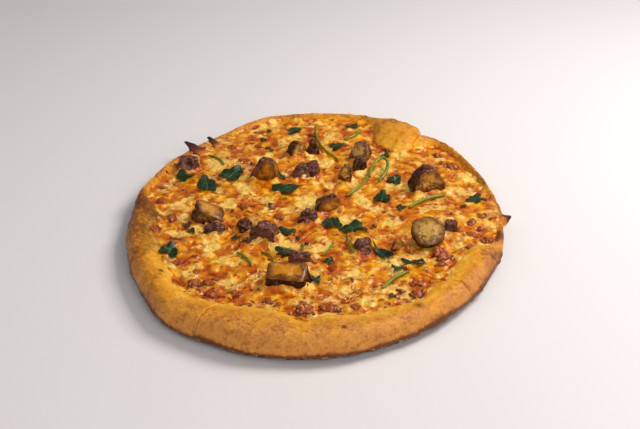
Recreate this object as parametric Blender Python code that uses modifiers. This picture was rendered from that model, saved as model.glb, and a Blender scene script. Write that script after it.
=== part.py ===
"""Hand-stretched oval pizza: a baked crust, a melted cheese layer, mushroom pieces, leaves and stems.

The file works in metres, +Z up. Sizes are written in millimetres and turned into metres as each mesh
is made. The pizza rests on the ground plane, its long side along Y, with the origin under the middle
of its box. Headings are degrees counted from +X towards +Y, seen from the middle of the pizza.
"""

import math
import random

import bmesh
import bpy
from mathutils import Matrix, Vector

MM = 0.001
GAP = 0.3

# Layout: topping places are read in a plan whose own zero lies near the middle of the pizza
PLAN_BOX_MIDDLE = (1.24, 2.17)
PLAN_POLE = (-1.3, 1.9)

# Outline of the crust: an oval, then a few places (heading, spread in degrees, push in mm)
LONG_RADIUS = 168.0
SHORT_RADIUS = 133.0
LONG_HEADING = 84.0
OUTLINE_PUSHES = (
    (236, 15, 5.5),
    (256, 9, 1.6),
    (76, 9, 3.4),
    (104, 9, 3.0),
    (30, 22, -2.6),
    (158, 13, -1.6),
    (298, 14, -1.6),
)

# Rim: a narrow back and sides, a broad ledge in front, a swollen bubble of dough
NARROW_RIM = 6.5
LEDGE = 19.0
LEDGE_FROM, LEDGE_TO = (168, 188), (333, 347)
FRONT_SWELL = (260, 20, 14.0)
BUBBLE_HEADING, BUBBLE_SPREAD, BUBBLE_WIDTH, BUBBLE_RISE = 63.0, 9.5, 37.0, 5.0
CHEESE_LOBES = (
    (267.3, 3.4, 9.0),
    (340.0, 4.0, 8.0),
    (196.0, 3.6, 6.0),
    (2.0, 8.0, 3.0),
    (131.0, 8.0, 3.0),
    (301.0, 4.0, 5.0),
    (228.0, 4.0, 4.0),
)

# Heights above the ground
FLOOR = 8.0
WALL_TOP = 12.2
CHEESE_BOTTOM = FLOOR + GAP
CHEESE_TOP = 12.5
TOPPING_BASE = CHEESE_TOP + GAP
BELLY = 7.6
RIM_TOP = 16.0
FRONT_RISE = (258, 62, 3.6)
FLAT_SPOTS = ((0.0, 11.0), (131.0, 11.0))

# Cross-section of the rim: shares of its width and of its height, then the curled-up underside in mm
RIM_INSIDE = ((0.84, 0.45), (0.62, 0.86), (0.36, 1.0))
RIM_OUTSIDE = ((0.65, 0.93), (0.33, 0.74), (0.08, 0.4))
RIM_ROUNDING = 9.0
UNDERSIDE = ((0.9, 4.7), (3.6, 2.3), (8.5, 0.7), (15.0, 0.0))
TURN_STEPS = 96

# Knife cuts: each runs between two plan points and stays above its depth
CUTS = (((-67, -137), (82, 124)), ((92, -100), (-122, 47)))
CUT_WIDTH = 1.1
CUT_BED = 10.2
CUT_END_HEADING = 55.7
CUT_END_SIZE = 9.0

# Burnt tips of cheese that stick out over the rim: heading, root and tip radius, tip height, breadth
BURNT_TIPS = (
    (134.6, 128.0, 153.0, 15.2, 14.0),
    (127.0, 132.0, 152.5, 15.2, 9.0),
    (357.5, 119.0, 138.0, 15.4, 26.0),
)
TIP_ROOT_HEIGHT = 12.8
TIP_THICKNESS = 4.0

# Browned blisters of the cheese: plan x, plan y, breadth
BLISTERS = (
    (-113, -30, 7), (-91, -72, 8), (-80, -84, 6), (-79, -97, 11), (-70, -95, 8), (-68, -109, 8),
    (-52, -108, 7), (-44, -122, 5), (-31, -115, 7), (-25, -121, 6), (-8, -126, 13), (8, -124, 12),
    (23, -122, 5), (63, -107, 9), (63, -94, 8), (53, -102, 7), (83, -59, 13), (81, -70, 7),
    (117, -40, 11), (106, -30, 7), (104, -49, 8), (113, -21, 6), (116, -3, 7), (108, -13, 7),
    (-60, 81, 7), (-33, 7, 8), (-28, -8, 7), (-54, 7, 8), (-114, 13, 7), (-116, 34, 6),
    (-49, 108, 7), (-51, 135, 6), (122, 22, 6), (103, 76, 12), (92, 96, 7), (-5, 131, 8),
    (-70, 104, 7), (14, 73, 6), (-104, -12, 7), (-20, 113, 6),
)
BLISTER_HEIGHT = 0.26
BLISTER_SIDES = (8, 5)

# Small flakes of leaf pressed into the cheese: plan x, plan y, length, breadth
FLAKES = ((-57, -38, 8, 4), (-14, -38, 5, 3), (-42, 136, 5, 4), (-46, 121, 6, 5), (47, -111, 8, 4))

# Fine lumps and shreds: even scatter by the golden angle, the breadths in mm
SCATTER_COUNT = 230
SCATTER_SIZES = (3.6, 8.0)
SCATTER_HEIGHTS = (1.8, 3.0)
SHRED_LENGTH = 2.6
SCATTER_SEED = 7
CLEARANCE = 0.6

# Mushroom pieces: plan x, plan y, (width, depth, height), turn, slope of the top, roundness, lean and
# form, which is a block, an arch on its edge or a round slice
MUSHROOMS = (
    (-20, -95, (28, 18, 11), -6, (0.1, -0.3), 6, 0, "block"),
    (-12, -71, (15, 12, 9), 15, (-0.1, 0.1), 5, 0, "block"),
    (-78, -12, (23, 15, 9.5), 18, (0.45, -0.3), 5, 0, "block"),
    (-71, -30, (14, 10, 6), -10, (0.1, 0.0), 4, 0, "block"),
    (-51, -27, (11, 12, 7), 20, (0.0, -0.2), 4, 0, "block"),
    (-36, -37, (17, 15, 11), -25, (0.15, 0.1), 6, 0, "block"),
    (-49, -47, (7, 7, 5), 0, (0.0, 0.0), 4, 0, "block"),
    (-101, 68, (18, 13, 9), 12, (0.0, -0.15), 4, 0, "block"),
    (-40, 53, (17, 15, 17), -12, (0.2, 0.25), 5, 0, "block"),
    (-10, 58, (22, 12, 9), 5, (-0.3, -0.2), 5, 0, "block"),
    (-19, 92, (15, 9, 14), 35, (0.3, 0.0), 6, 0, "arch"),
    (-6, 97, (9, 8, 14), 10, (0.1, 0.0), 2.5, 0, "block"),
    (32, 88, (15, 13, 15), -20, (0.1, 0.2), 5, 0, "block"),
    (31, 70, (11, 9, 10), 15, (0.1, -0.2), 4, 0, "block"),
    (20, 52, (9, 6, 15), -15, (0.2, 0.0), 6, 0, "arch"),
    (79, 39, (27, 15, 19.5), 19, (0.0, 0.15), 7, 0, "arch"),
    (73.5, -45, (25, 12, 21), -6, (0.0, 0.0), 7, 40, "round"),
    (92, -24, (10, 9, 8), 0, (0.0, 0.0), 4, 0, "block"),
    (5.5, 5, (18, 13, 11), 22, (-0.2, 0.1), 4, 0, "block"),
    (-7, -12, (12, 11, 9), -15, (0.1, 0.0), 4, 0, "block"),
    (30, -53, (12, 13, 9), 12, (0.1, 0.1), 5, 0, "block"),
    (54, -48, (8, 8, 5), 0, (0.0, 0.0), 4, 0, "block"),
)
BLOCK_SIDES = (12, 7)
ARC_SIDES = (16, 8)
ARC_STEP = 30

# Leaves: plan x, plan y, length, breadth, heading of the midrib, fold, lift of one that lies on the rim
LEAVES = (
    (-100, -59, 15, 13, 80, 0.5, 2.4),
    (-22, -30, 12, 10, 20, 0.4, 0),
    (-22, -58, 16, 9, 10, 0.9, 0),
    (-1, -92, 10, 5, 75, 0.6, 0),
    (9, -17, 16, 13, 100, 0.5, 0),
    (25, -22, 18, 14, 200, 0.4, 0),
    (7, -69, 9, 6, 60, 0.5, 0),
    (43, -57, 20, 9, 125, 0.9, 0),
    (64, -69, 16, 8, 170, 0.5, 0),
    (52, -76, 8, 6, 30, 0.4, 0),
    (-102, 52, 15, 12, 10, 0.4, 0),
    (-84, 38, 20, 13, 100, 0.6, 0),
    (-67, 55, 22, 16, 60, 0.5, 0),
    (-25, 33, 20, 16, 50, 0.5, 0),
    (-22, 137, 12, 10, 20, 0.4, 0),
    (27, 148, 12, 9, 70, 0.4, 0),
    (13, 109, 12, 10, 40, 0.4, 0),
    (57, 51, 14, 10, 60, 0.5, 0),
    (46, 22, 18, 12, 80, 0.5, 0),
    (52, 94, 10, 6, 80, 0.5, 0),
    (59, 6, 8, 6, 20, 0.4, 0),
    (114, 22, 18, 11, 70, 0.6, 0),
    (-88, -31, 8, 5, 80, 0.5, 0),
)
LEAF_THICKNESS = 0.6
LEAF_GRID = (6, 2)
LEAF_TIP = 0.7

# Stems: plan start, plan end, bow in plan, arch, thickness
STEMS = (
    ((-38, -57), (-30, -70), 2, 1.5, 1.6),
    ((-54, -59), (-44, -76), 1, 1.0, 1.8),
    ((10, -42), (2, -60), 2, 1.5, 1.4),
    ((59, -81), (41, -101), -2, 1.5, 2.2),
    ((-2.3, 152), (14, 86), -7.5, 2.0, 2.0),
    ((33, 141), (20, 122), 3, 1.5, 2.2),
    ((36, 60), (20, 26), 4, 3.0, 2.0),
    ((92, 28), (65, 6), -2, 2.5, 2.4),
    ((-87, 88), (-74, 72), 2, 1.0, 1.6),
    ((-11.5, -45), (-11, -58), 1, 1.0, 1.5),
    ((19.8, -31.5), (21.5, -58), -1, 1.5, 1.5),
)
STEM_POINTS = 7
LOOP_MIDDLE, LOOP_RADII, LOOP_TURN = (45, 62), (6, 16), 14
LOOP_FROM, LOOP_TO, LOOP_POINTS = -60, 215, 12
LOOP_THICKNESS, LOOP_RISE = 2.4, 5.0

CRUST_COLOUR, CRUST_ROUGHNESS = (0.62, 0.28, 0.06), 0.65
CHEESE_COLOUR, CHEESE_ROUGHNESS = (0.80, 0.36, 0.05), 0.35
MUSHROOM_COLOUR, MUSHROOM_ROUGHNESS = (0.16, 0.06, 0.025), 0.4
LEAF_COLOUR, LEAF_ROUGHNESS = (0.02, 0.06, 0.015), 0.4
STEM_COLOUR, STEM_ROUGHNESS = (0.20, 0.26, 0.02), 0.4


def clear_scene():
    for obj in list(bpy.data.objects):
        bpy.data.objects.remove(obj, do_unlink=True)


def collection(name):
    made = bpy.data.collections.new(name)
    bpy.context.scene.collection.children.link(made)
    return made


def finish(obj, colour, roughness):
    """Gives the object its own material and smooth shading that keeps the sharp edges."""
    material = bpy.data.materials.new(obj.name + "_finish")
    material.use_nodes = True
    shader = material.node_tree.nodes["Principled BSDF"]
    shader.inputs["Base Color"].default_value = (*colour, 1.0)
    shader.inputs["Roughness"].default_value = roughness
    shader.inputs["Metallic"].default_value = 0.0
    obj.data.materials.clear()
    obj.data.materials.append(material)
    if obj.type == "MESH":
        obj.data.shade_smooth()
        obj.data.set_sharp_from_angle(angle=math.radians(40))


def applied(obj):
    """Replaces the object's mesh by its evaluated one and drops the modifiers."""
    graph = bpy.context.evaluated_depsgraph_get()
    mesh = bpy.data.meshes.new_from_object(obj.evaluated_get(graph))
    obj.modifiers.clear()
    obj.data = mesh


def from_bmesh(name, bm, home):
    mesh = bpy.data.meshes.new(name)
    bm.to_mesh(mesh)
    bm.free()
    obj = bpy.data.objects.new(name, mesh)
    home.objects.link(obj)
    return obj


def spot(x, y, z):
    """A plan place and a height in mm, as a world point in metres."""
    return Vector((x - PLAN_BOX_MIDDLE[0], y - PLAN_BOX_MIDDLE[1], z)) * MM


def polar_spot(heading, radius, z):
    """A heading and radius round the pole of the pizza, as a world point in metres."""
    angle = math.radians(heading)
    return spot(PLAN_POLE[0] + radius * math.cos(angle), PLAN_POLE[1] + radius * math.sin(angle), z)


def bump(heading, middle, spread):
    """A smooth swelling, 1 at its middle heading and near 0 past twice its spread."""
    away = (heading - middle + 180) % 360 - 180
    return math.exp(-((away / spread) ** 2))


def smooth_step(value, start, end):
    share = min(1.0, max(0.0, (value - start) / (end - start)))
    return share * share * (3 - 2 * share)


def outline(heading):
    """Radius of the crust's outer edge: an oval, its pushes and a slight unevenness."""
    angle = math.radians(heading - LONG_HEADING)
    across = math.hypot(SHORT_RADIUS * math.cos(angle), LONG_RADIUS * math.sin(angle))
    radius = LONG_RADIUS * SHORT_RADIUS / across
    radius += sum(push * bump(heading, middle, spread) for middle, spread, push in OUTLINE_PUSHES)
    turn = math.radians(heading)
    return radius + 0.35 * math.sin(11 * turn) + 0.3 * math.sin(17 * turn + 1)


def bubble(heading):
    away = (heading - BUBBLE_HEADING + 180) % 360 - 180
    return math.exp(-((away / BUBBLE_SPREAD) ** 4))


def cheese_edge(heading):
    """Radius where the cheese ends and the bare rim starts, with its melted lobes."""
    heading %= 360
    ledge = smooth_step(heading, *LEDGE_FROM) * (1 - smooth_step(heading, *LEDGE_TO))
    swell_at, swell_spread, swell = FRONT_SWELL
    width = NARROW_RIM + LEDGE * ledge + swell * bump(heading, swell_at, swell_spread)
    width += BUBBLE_WIDTH * bubble(heading)
    width -= sum(push * bump(heading, at, spread) for at, spread, push in CHEESE_LOBES)
    turn = math.radians(heading)
    ragged = ledge * (1.0 * math.sin(14 * turn) + 0.8 * math.sin(23 * turn + 2))
    return outline(heading) - width + ragged


def rim_top(heading):
    """Height of the rim's crest. It sinks where burnt cheese lies over it."""
    front_at, front_spread, rise = FRONT_RISE
    turn = math.radians(heading)
    top = RIM_TOP + rise * bump(heading, front_at, front_spread) + BUBBLE_RISE * bubble(heading)
    top += 0.35 * math.sin(7 * turn + 1) + 0.3 * math.sin(13 * turn)
    sunk = max(bump(heading, at, spread) ** 0.5 for at, spread in FLAT_SPOTS)
    return top + (WALL_TOP + 0.1 - top) * min(1.0, 1.25 * sunk) if sunk > 0.05 else top


def crust_section(heading):
    """The crust's cross-section: recess floor, recess wall, rim, underside, middle of the base."""
    edge, inner, top = outline(heading), cheese_edge(heading) + GAP, rim_top(heading)
    width = edge - inner
    rounding = min(RIM_ROUNDING, 0.45 * width)
    section = [(0, FLOOR), (inner, FLOOR), (inner, WALL_TOP)]
    section += [(edge - share * width, WALL_TOP + rise * (top - WALL_TOP)) for share, rise in RIM_INSIDE]
    section += [(edge - share * rounding, BELLY + rise * (top - BELLY)) for share, rise in RIM_OUTSIDE]
    section += [(edge, BELLY)]
    section += [(edge - inset, height) for inset, height in UNDERSIDE]
    return section + [(0, 0)]


def cheese_section(heading):
    """The cheese slab's cross-section: flat top, rounded edge, wall, flat underside."""
    edge = cheese_edge(heading)
    return [
        (0, CHEESE_TOP),
        (edge - 3.0, CHEESE_TOP),
        (edge - 0.8, CHEESE_TOP - 0.4),
        (edge, CHEESE_TOP - 1.2),
        (edge, CHEESE_BOTTOM),
        (0, CHEESE_BOTTOM),
    ]


def turned(name, section, home):
    """Turns one section about the pole, then moves each vertex to the section of its own heading."""
    pattern = section(LONG_HEADING + 180)
    mesh = bpy.data.meshes.new(name)
    edges = [(k, k + 1) for k in range(len(pattern) - 1)]
    mesh.from_pydata([(radius * MM, 0, height * MM) for radius, height in pattern], edges, [])
    obj = bpy.data.objects.new(name, mesh)
    home.objects.link(obj)
    screw = obj.modifiers.new("turn", "SCREW")
    screw.steps = screw.render_steps = TURN_STEPS
    screw.use_merge_vertices = True
    screw.merge_threshold = 0.00001
    applied(obj)
    for vertex in obj.data.vertices:
        radius, height = math.hypot(vertex.co.x, vertex.co.y) / MM, vertex.co.z / MM
        station = min(
            range(len(pattern)),
            key=lambda k: math.hypot(pattern[k][0] - radius, pattern[k][1] - height),
        )
        heading = math.degrees(math.atan2(vertex.co.y, vertex.co.x)) % 360
        vertex.co = polar_spot(heading, *section(heading)[station])
    return obj


def boolean(obj, operation, other):
    """Adds a Boolean with an object or with a whole collection."""
    modifier = obj.modifiers.new(operation.lower(), "BOOLEAN")
    modifier.operation = operation
    if isinstance(other, bpy.types.Collection):
        modifier.operand_type = "COLLECTION"
        modifier.collection = other
    else:
        modifier.object = other


def blob(name, at, size, turn, home, sides=BLISTER_SIDES):
    """A flattened ball, for a blister, a lump or a shred of cheese."""
    bm = bmesh.new()
    bmesh.ops.create_uvsphere(bm, u_segments=sides[0], v_segments=sides[1], radius=1)
    half = Matrix.Diagonal(Vector(size) * MM / 2).to_4x4()
    bmesh.ops.transform(
        bm, verts=bm.verts, matrix=Matrix.Translation(at) @ Matrix.Rotation(turn, 4, "Z") @ half
    )
    return from_bmesh(name, bm, home)


def burnt_tip(number, heading, root, reach, height, breadth, home):
    """A flattened spike of burnt cheese that climbs from the slab out over the rim."""
    start, end = polar_spot(heading, root, TIP_ROOT_HEIGHT), polar_spot(heading, reach, height)
    bm = bmesh.new()
    bmesh.ops.create_cone(bm, cap_ends=True, segments=8, radius1=0.5, radius2=0.12, depth=1)
    flat = Matrix.Diagonal((breadth * MM, TIP_THICKNESS * MM, (end - start).length)).to_4x4()
    aim = (end - start).to_track_quat("Z", "Y").to_matrix().to_4x4()
    bmesh.ops.transform(bm, verts=bm.verts, matrix=Matrix.Translation((start + end) / 2) @ aim @ flat)
    return from_bmesh(f"burnt_tip_{number}", bm, home)


def topping_footprints():
    """Plan circles that keep the fine lumps clear of every separate topping."""
    circles = [(x, y, 0.56 * max(size[0], size[1])) for x, y, size, *_ in MUSHROOMS]
    for x, y, length, breadth, heading, *_ in LEAVES:
        along = Vector((math.cos(math.radians(heading)), math.sin(math.radians(heading))))
        for share in (-0.3, 0, 0.3):
            circles.append((x + share * length * along.x, y + share * length * along.y, 0.58 * breadth))
    for (x0, y0), (x1, y1), bow, _, thickness in STEMS:
        for k in range(6):
            x, y = bowed((x0, y0), (x1, y1), bow, k / 5)
            circles.append((x, y, thickness + 1.5))
    circles += [(x, y, LOOP_THICKNESS + 1) for x, y, _ in loop_route()]
    return circles


def clear_of(x, y, radius, circles):
    return all(math.hypot(x - cx, y - cy) > radius + r + CLEARANCE for cx, cy, r in circles)


def inside_cheese(x, y, margin):
    dx, dy = x - PLAN_POLE[0], y - PLAN_POLE[1]
    return math.hypot(dx, dy) < cheese_edge(math.degrees(math.atan2(dy, dx))) - margin


def cheese_relief(home):
    """Blisters, leaf flakes, burnt tips and an even scatter of fine lumps, to be joined to the slab."""
    rng = random.Random(SCATTER_SEED)
    taken = topping_footprints()
    for number, tip in enumerate(BURNT_TIPS):
        burnt_tip(number, *tip, home)
    for number, (x, y, breadth) in enumerate(BLISTERS):
        if clear_of(x, y, breadth / 2, taken) and inside_cheese(x, y, breadth / 2 + 0.6):
            size = (breadth, breadth * rng.uniform(0.75, 1.0), 2 * breadth * BLISTER_HEIGHT)
            blob(f"blister_{number}", spot(x, y, CHEESE_TOP - 0.3), size, rng.uniform(0, 6.28), home)
            taken.append((x, y, breadth / 2))
    for number, (x, y, length, breadth) in enumerate(FLAKES):
        size = (length, breadth, 2.0)
        blob(f"flake_{number}", spot(x, y, CHEESE_TOP + 0.1), size, rng.uniform(0, 3.14), home)
        taken.append((x, y, length / 2))
    golden = math.pi * (3 - math.sqrt(5))
    for number in range(SCATTER_COUNT):
        share, turn = math.sqrt((number + 0.5) / SCATTER_COUNT), number * golden
        reach = share * (cheese_edge(math.degrees(turn)) - 4)
        x = PLAN_POLE[0] + reach * math.cos(turn) + rng.uniform(-2, 2)
        y = PLAN_POLE[1] + reach * math.sin(turn) + rng.uniform(-2, 2)
        breadth, stretch = rng.uniform(*SCATTER_SIZES), rng.uniform(1, SHRED_LENGTH)
        length, way = breadth * math.sqrt(stretch), rng.uniform(0, 3.14)
        if clear_of(x, y, length / 2, taken) and inside_cheese(x, y, length / 2 + 0.8):
            size = (length, breadth / math.sqrt(stretch), rng.uniform(*SCATTER_HEIGHTS))
            blob(f"lump_{number}", spot(x, y, CHEESE_TOP - 0.2), size, way, home, (6, 4))
            taken.append((x, y, length / 2))


def fuse(obj, relief):
    """Joins everything in the relief collection to the object, then removes it."""
    boolean(obj, "UNION", relief)
    applied(obj)
    for piece in list(relief.objects):
        bpy.data.objects.remove(piece, do_unlink=True)
    bpy.data.collections.remove(relief)


def cutter(name, size, at, turn, home):
    bpy.ops.mesh.primitive_cube_add(size=1)
    obj = bpy.context.object
    obj.name = name
    for old in list(obj.users_collection):
        old.objects.unlink(obj)
    home.objects.link(obj)
    obj.data.transform(Matrix.Diagonal(Vector(size) * MM).to_4x4())
    obj.location = at
    obj.rotation_euler.z = turn
    obj.hide_render = True
    obj.display_type = "WIRE"
    return obj


def knife_cutters(home):
    """One thin blade for each straight cut."""
    blades = []
    for number, (start, end) in enumerate(CUTS):
        run = Vector(end) - Vector(start)
        middle = (Vector(start) + Vector(end)) / 2
        depth = 2 * (RIM_TOP + 10 - CUT_BED)
        at = spot(middle.x, middle.y, CUT_BED + depth / 2)
        blades.append(
            cutter(f"knife_{number}", (run.length, CUT_WIDTH, depth), at, math.atan2(run.y, run.x), home)
        )
    return blades


def crust(home, blades, cutters):
    obj = turned("dough_crust", crust_section, home)
    size = (CUT_END_SIZE, CUT_END_SIZE, 4 * RIM_TOP)
    at = polar_spot(CUT_END_HEADING, outline(CUT_END_HEADING), 0)
    nick = cutter("cut_end", size, at, math.radians(CUT_END_HEADING + 45), cutters)
    for tool in (*blades, nick):
        boolean(obj, "DIFFERENCE", tool)
    finish(obj, CRUST_COLOUR, CRUST_ROUGHNESS)


def cheese(home, blades):
    obj = turned("cheese_layer", cheese_section, home)
    relief = collection("cheese_relief")
    cheese_relief(relief)
    fuse(obj, relief)
    for blade in blades:
        boolean(obj, "DIFFERENCE", blade)
    finish(obj, CHEESE_COLOUR, CHEESE_ROUGHNESS)


def reach_inside(direction, planes, roundness):
    """Distance from the middle to the surface of a rounded solid bounded by planes."""
    total = 0.0
    for normal, distance in planes:
        total += max(0.0, direction.dot(normal) / distance) ** (2 * roundness)
    return total ** (-0.5 / roundness)


def block_planes(rng, width, depth, height, slope):
    """Four leaning sides, three cut corners, a sloped top and a flat base."""
    sides = [
        (90 * k + rng.uniform(-16, 16), (width, depth)[k % 2] * rng.uniform(0.88, 1)) for k in range(4)
    ]
    corners = [
        (90 * k + 45 + rng.uniform(-14, 14), 0.72 * (width + depth) * rng.uniform(0.82, 1))
        for k in rng.sample(range(4), 3)
    ]
    planes = [(Vector((slope[0], slope[1], 1)), height), (Vector((0, 0, -1)), height)]
    for heading, reach in sides + corners:
        angle = math.radians(heading)
        planes.append((Vector((math.cos(angle), math.sin(angle), rng.uniform(0.05, 0.45))), reach))
    return planes


def curved_planes(rng, width, depth, height, slope, whole):
    """Two flat sides, and planes that touch a standing ellipse: all of it, or the half above the base."""
    middle, tall = (0, height) if whole else (-height, 2 * height)
    turn = rng.uniform(-8, 8)
    planes = [(Vector((0.05, -1, slope[1])), depth), (Vector((-0.08, 1, 0.15)), depth)]
    if not whole:
        planes.append((Vector((0, 0, -1)), height))
    for degrees in range(0, 360 if whole else 181, ARC_STEP):
        angle = math.radians(degrees + turn)
        reach = math.hypot(width * math.cos(angle), tall * math.sin(angle)) + middle * math.sin(angle)
        planes.append((Vector((math.cos(angle), 0, math.sin(angle))), reach * rng.uniform(0.93, 1.03)))
    return planes


def mushroom(number, x, y, size, turn, slope, roundness, lean, form, home):
    """A cut piece of mushroom: a rounded solid between planes, flat where it rests."""
    rng = random.Random(number)
    halves = [0.5 * side * MM for side in size]
    if form == "block":
        planes, sides = block_planes(rng, *halves, slope), BLOCK_SIDES
    else:
        planes, sides = curved_planes(rng, *halves, slope, form == "round"), ARC_SIDES
    bm = bmesh.new()
    bmesh.ops.create_uvsphere(bm, u_segments=sides[0], v_segments=sides[1], radius=1)
    for vertex in bm.verts:
        direction = vertex.co.normalized()
        vertex.co = direction * reach_inside(direction, planes, roundness)
    tilt = Matrix.Rotation(math.radians(turn), 4, "Z") @ Matrix.Rotation(-math.radians(lean), 4, "X")
    bmesh.ops.transform(bm, verts=bm.verts, matrix=tilt)
    rest = min(vertex.co.z for vertex in bm.verts) + 0.08 * size[2] * MM
    for vertex in bm.verts:
        vertex.co.z = max(vertex.co.z, rest) - rest
    bmesh.ops.translate(bm, verts=bm.verts, vec=spot(x, y, TOPPING_BASE))
    bmesh.ops.triangulate(bm, faces=bm.faces)
    obj = from_bmesh(f"mushroom_{number:02d}", bm, home)
    finish(obj, MUSHROOM_COLOUR, MUSHROOM_ROUGHNESS)


def leaf(number, x, y, length, breadth, heading, fold, raised, home):
    """A wavy leaf: a triangulated sheet folded along its midrib, with lobes, thickened by Solidify."""
    bm = bmesh.new()
    bmesh.ops.create_grid(bm, x_segments=LEAF_GRID[0], y_segments=LEAF_GRID[1], size=1)
    for vertex in bm.verts:
        along, side = 0.5 * (vertex.co.x + 1), vertex.co.y
        lobes = 1 + 0.25 * math.cos(3 * math.tau * along + number)
        half = LEAF_TIP + 0.5 * breadth * lobes * math.sin(math.pi * along) ** 0.7
        wave = fold * 0.35 * abs(side) * half + 0.6 * math.sin(1.5 * math.tau * along + number)
        arch = 0.06 * length * (1 - math.cos(math.tau * along)) * fold
        vertex.co = Vector(((along - 0.5) * length, side * half, wave + arch)) * MM
    low = min(vertex.co.z for vertex in bm.verts)
    bmesh.ops.triangulate(bm, faces=bm.faces)
    at = Matrix.Translation(spot(x, y, TOPPING_BASE + raised))
    place = at @ Matrix.Rotation(math.radians(heading), 4, "Z")
    bmesh.ops.transform(bm, verts=bm.verts, matrix=place @ Matrix.Translation((0, 0, -low)))
    obj = from_bmesh(f"leaf_{number:02d}", bm, home)
    wall = obj.modifiers.new("thickness", "SOLIDIFY")
    wall.thickness = LEAF_THICKNESS * MM
    wall.offset = 1.0
    finish(obj, LEAF_COLOUR, LEAF_ROUGHNESS)


def bowed(start, end, bow, share):
    """Plan point at a share of the way from start to end, pushed sideways by the bow in its middle."""
    run = Vector(end) - Vector(start)
    side = Vector((-run.y, run.x)).normalized()
    point = Vector(start) + share * run + 4 * bow * share * (1 - share) * side
    return point.x, point.y


def loop_route():
    """Points of the stem that curls round in a tall loop."""
    route = []
    for k in range(LOOP_POINTS):
        share = k / (LOOP_POINTS - 1)
        angle = math.radians(LOOP_FROM + share * (LOOP_TO - LOOP_FROM))
        flat = Vector((LOOP_RADII[0] * math.cos(angle), LOOP_RADII[1] * math.sin(angle)))
        flat.rotate(Matrix.Rotation(math.radians(-LOOP_TURN), 2))
        z = TOPPING_BASE + LOOP_THICKNESS / 2 + LOOP_RISE * math.sin(math.pi * share)
        route.append((LOOP_MIDDLE[0] + flat.x, LOOP_MIDDLE[1] + flat.y, z))
    return route


def tube(name, route, thickness, home):
    """A round stem along a route of plan points and heights."""
    curve = bpy.data.curves.new(name, "CURVE")
    curve.dimensions = "3D"
    curve.bevel_depth = 0.5 * thickness * MM
    curve.bevel_resolution = 1
    curve.use_fill_caps = True
    spline = curve.splines.new("POLY")
    spline.points.add(len(route) - 1)
    for point, place in zip(spline.points, route):
        point.co = (*spot(*place), 1)
    obj = bpy.data.objects.new(name, curve)
    home.objects.link(obj)
    finish(obj, STEM_COLOUR, STEM_ROUGHNESS)


def stem(number, start, end, bow, arch, thickness, home):
    route = []
    for k in range(STEM_POINTS):
        share = k / (STEM_POINTS - 1)
        z = TOPPING_BASE + thickness / 2 + 4 * arch * share * (1 - share)
        route.append((*bowed(start, end, bow, share), z))
    tube(f"stem_{number:02d}", route, thickness, home)


def main():
    clear_scene()
    pizza, cutters = collection("pizza"), collection("cutters")
    blades = knife_cutters(cutters)
    crust(pizza, blades, cutters)
    cheese(pizza, blades)
    for number, piece in enumerate(MUSHROOMS, 1):
        mushroom(number, *piece, pizza)
    for number, piece in enumerate(LEAVES, 1):
        leaf(number, *piece, pizza)
    for number, piece in enumerate(STEMS, 1):
        stem(number, *piece, pizza)
    tube("stem_loop", loop_route(), LOOP_THICKNESS, pizza)


main()
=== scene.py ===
"""Looks of a hand-stretched oval pizza: browned crust, melted cheese, mushroom pieces, leaves and stems.

Shapes are worked out in millimetres on a plan whose zero lies near the middle of the pizza, with
headings in degrees from +X towards +Y about the plan's pole. They become metres as a mesh is made.
"""

import itertools
import logging
import random
from dataclasses import dataclass
from enum import Enum
from functools import partialmethod
from typing import Mapping, Optional, Sequence, Union

import bpy
import numpy as np
from mathutils import Matrix, Vector


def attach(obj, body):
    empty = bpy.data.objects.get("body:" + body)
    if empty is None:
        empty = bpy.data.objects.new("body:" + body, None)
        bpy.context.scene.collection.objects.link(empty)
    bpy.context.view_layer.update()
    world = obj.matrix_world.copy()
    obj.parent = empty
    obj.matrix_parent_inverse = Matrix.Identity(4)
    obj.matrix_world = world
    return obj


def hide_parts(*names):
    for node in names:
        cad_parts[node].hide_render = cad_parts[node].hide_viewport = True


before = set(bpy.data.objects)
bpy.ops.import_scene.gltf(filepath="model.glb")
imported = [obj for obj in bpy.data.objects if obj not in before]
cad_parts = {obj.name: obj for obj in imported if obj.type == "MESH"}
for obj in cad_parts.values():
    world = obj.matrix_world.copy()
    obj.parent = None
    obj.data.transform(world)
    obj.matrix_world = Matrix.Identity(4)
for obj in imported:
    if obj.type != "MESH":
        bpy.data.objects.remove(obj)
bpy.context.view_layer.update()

MM = 0.001
TURN = 2 * np.pi
Array = np.ndarray
Layers = Mapping[str, np.ndarray]
Object = bpy.types.Object
Material = bpy.types.Material
Place = tuple[float, float]
Spot = tuple[float, float, float]
Colour = tuple[float, float, float]
Setting = Union[bool, int, float, str, Sequence[tuple[float, Colour]]]

log = logging.getLogger("pizza")


def signed(heading: Array) -> Array:
    """Headings brought to the range from -180 to 180."""
    return ((heading + 180) % 360) - 180


def bump(heading: Array, middle: float, spread: float) -> Array:
    """A swelling of headings: 1 at its middle, exp(-1) one spread away from it."""
    return np.exp(-((signed(heading - middle) / spread) ** 2))


def swells(heading: Array, rows: Sequence[Spot]) -> Array:
    """Swellings added up. Each row has a middle, a spread and a height."""
    return sum(height * bump(heading, middle, spread) for middle, spread, height in rows)


def waves(heading: Array, rows: Sequence[Spot]) -> Array:
    """Sines round the pizza added up. Each row has a height, a count of waves and a phase."""
    turn = np.radians(heading)
    return sum(height * np.sin(count * turn + phase) for height, count, phase in rows)


def step(value: Array, start: float, end: float) -> Array:
    """A smooth step: 0 up to the start, 1 from the end on, 3s^2 - 2s^3 of the share s between them."""
    share = np.clip((value - start) / (end - start), 0, 1)
    return share * share * (3 - 2 * share)


def soft_max(first: Array, second: Array, blend: float) -> Array:
    """The larger of two fields, rounded over a length where they cross: m + sqrt(d^2 + b^2), halves."""
    return 0.5 * (first + second + np.sqrt((first - second) ** 2 + blend**2))


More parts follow.
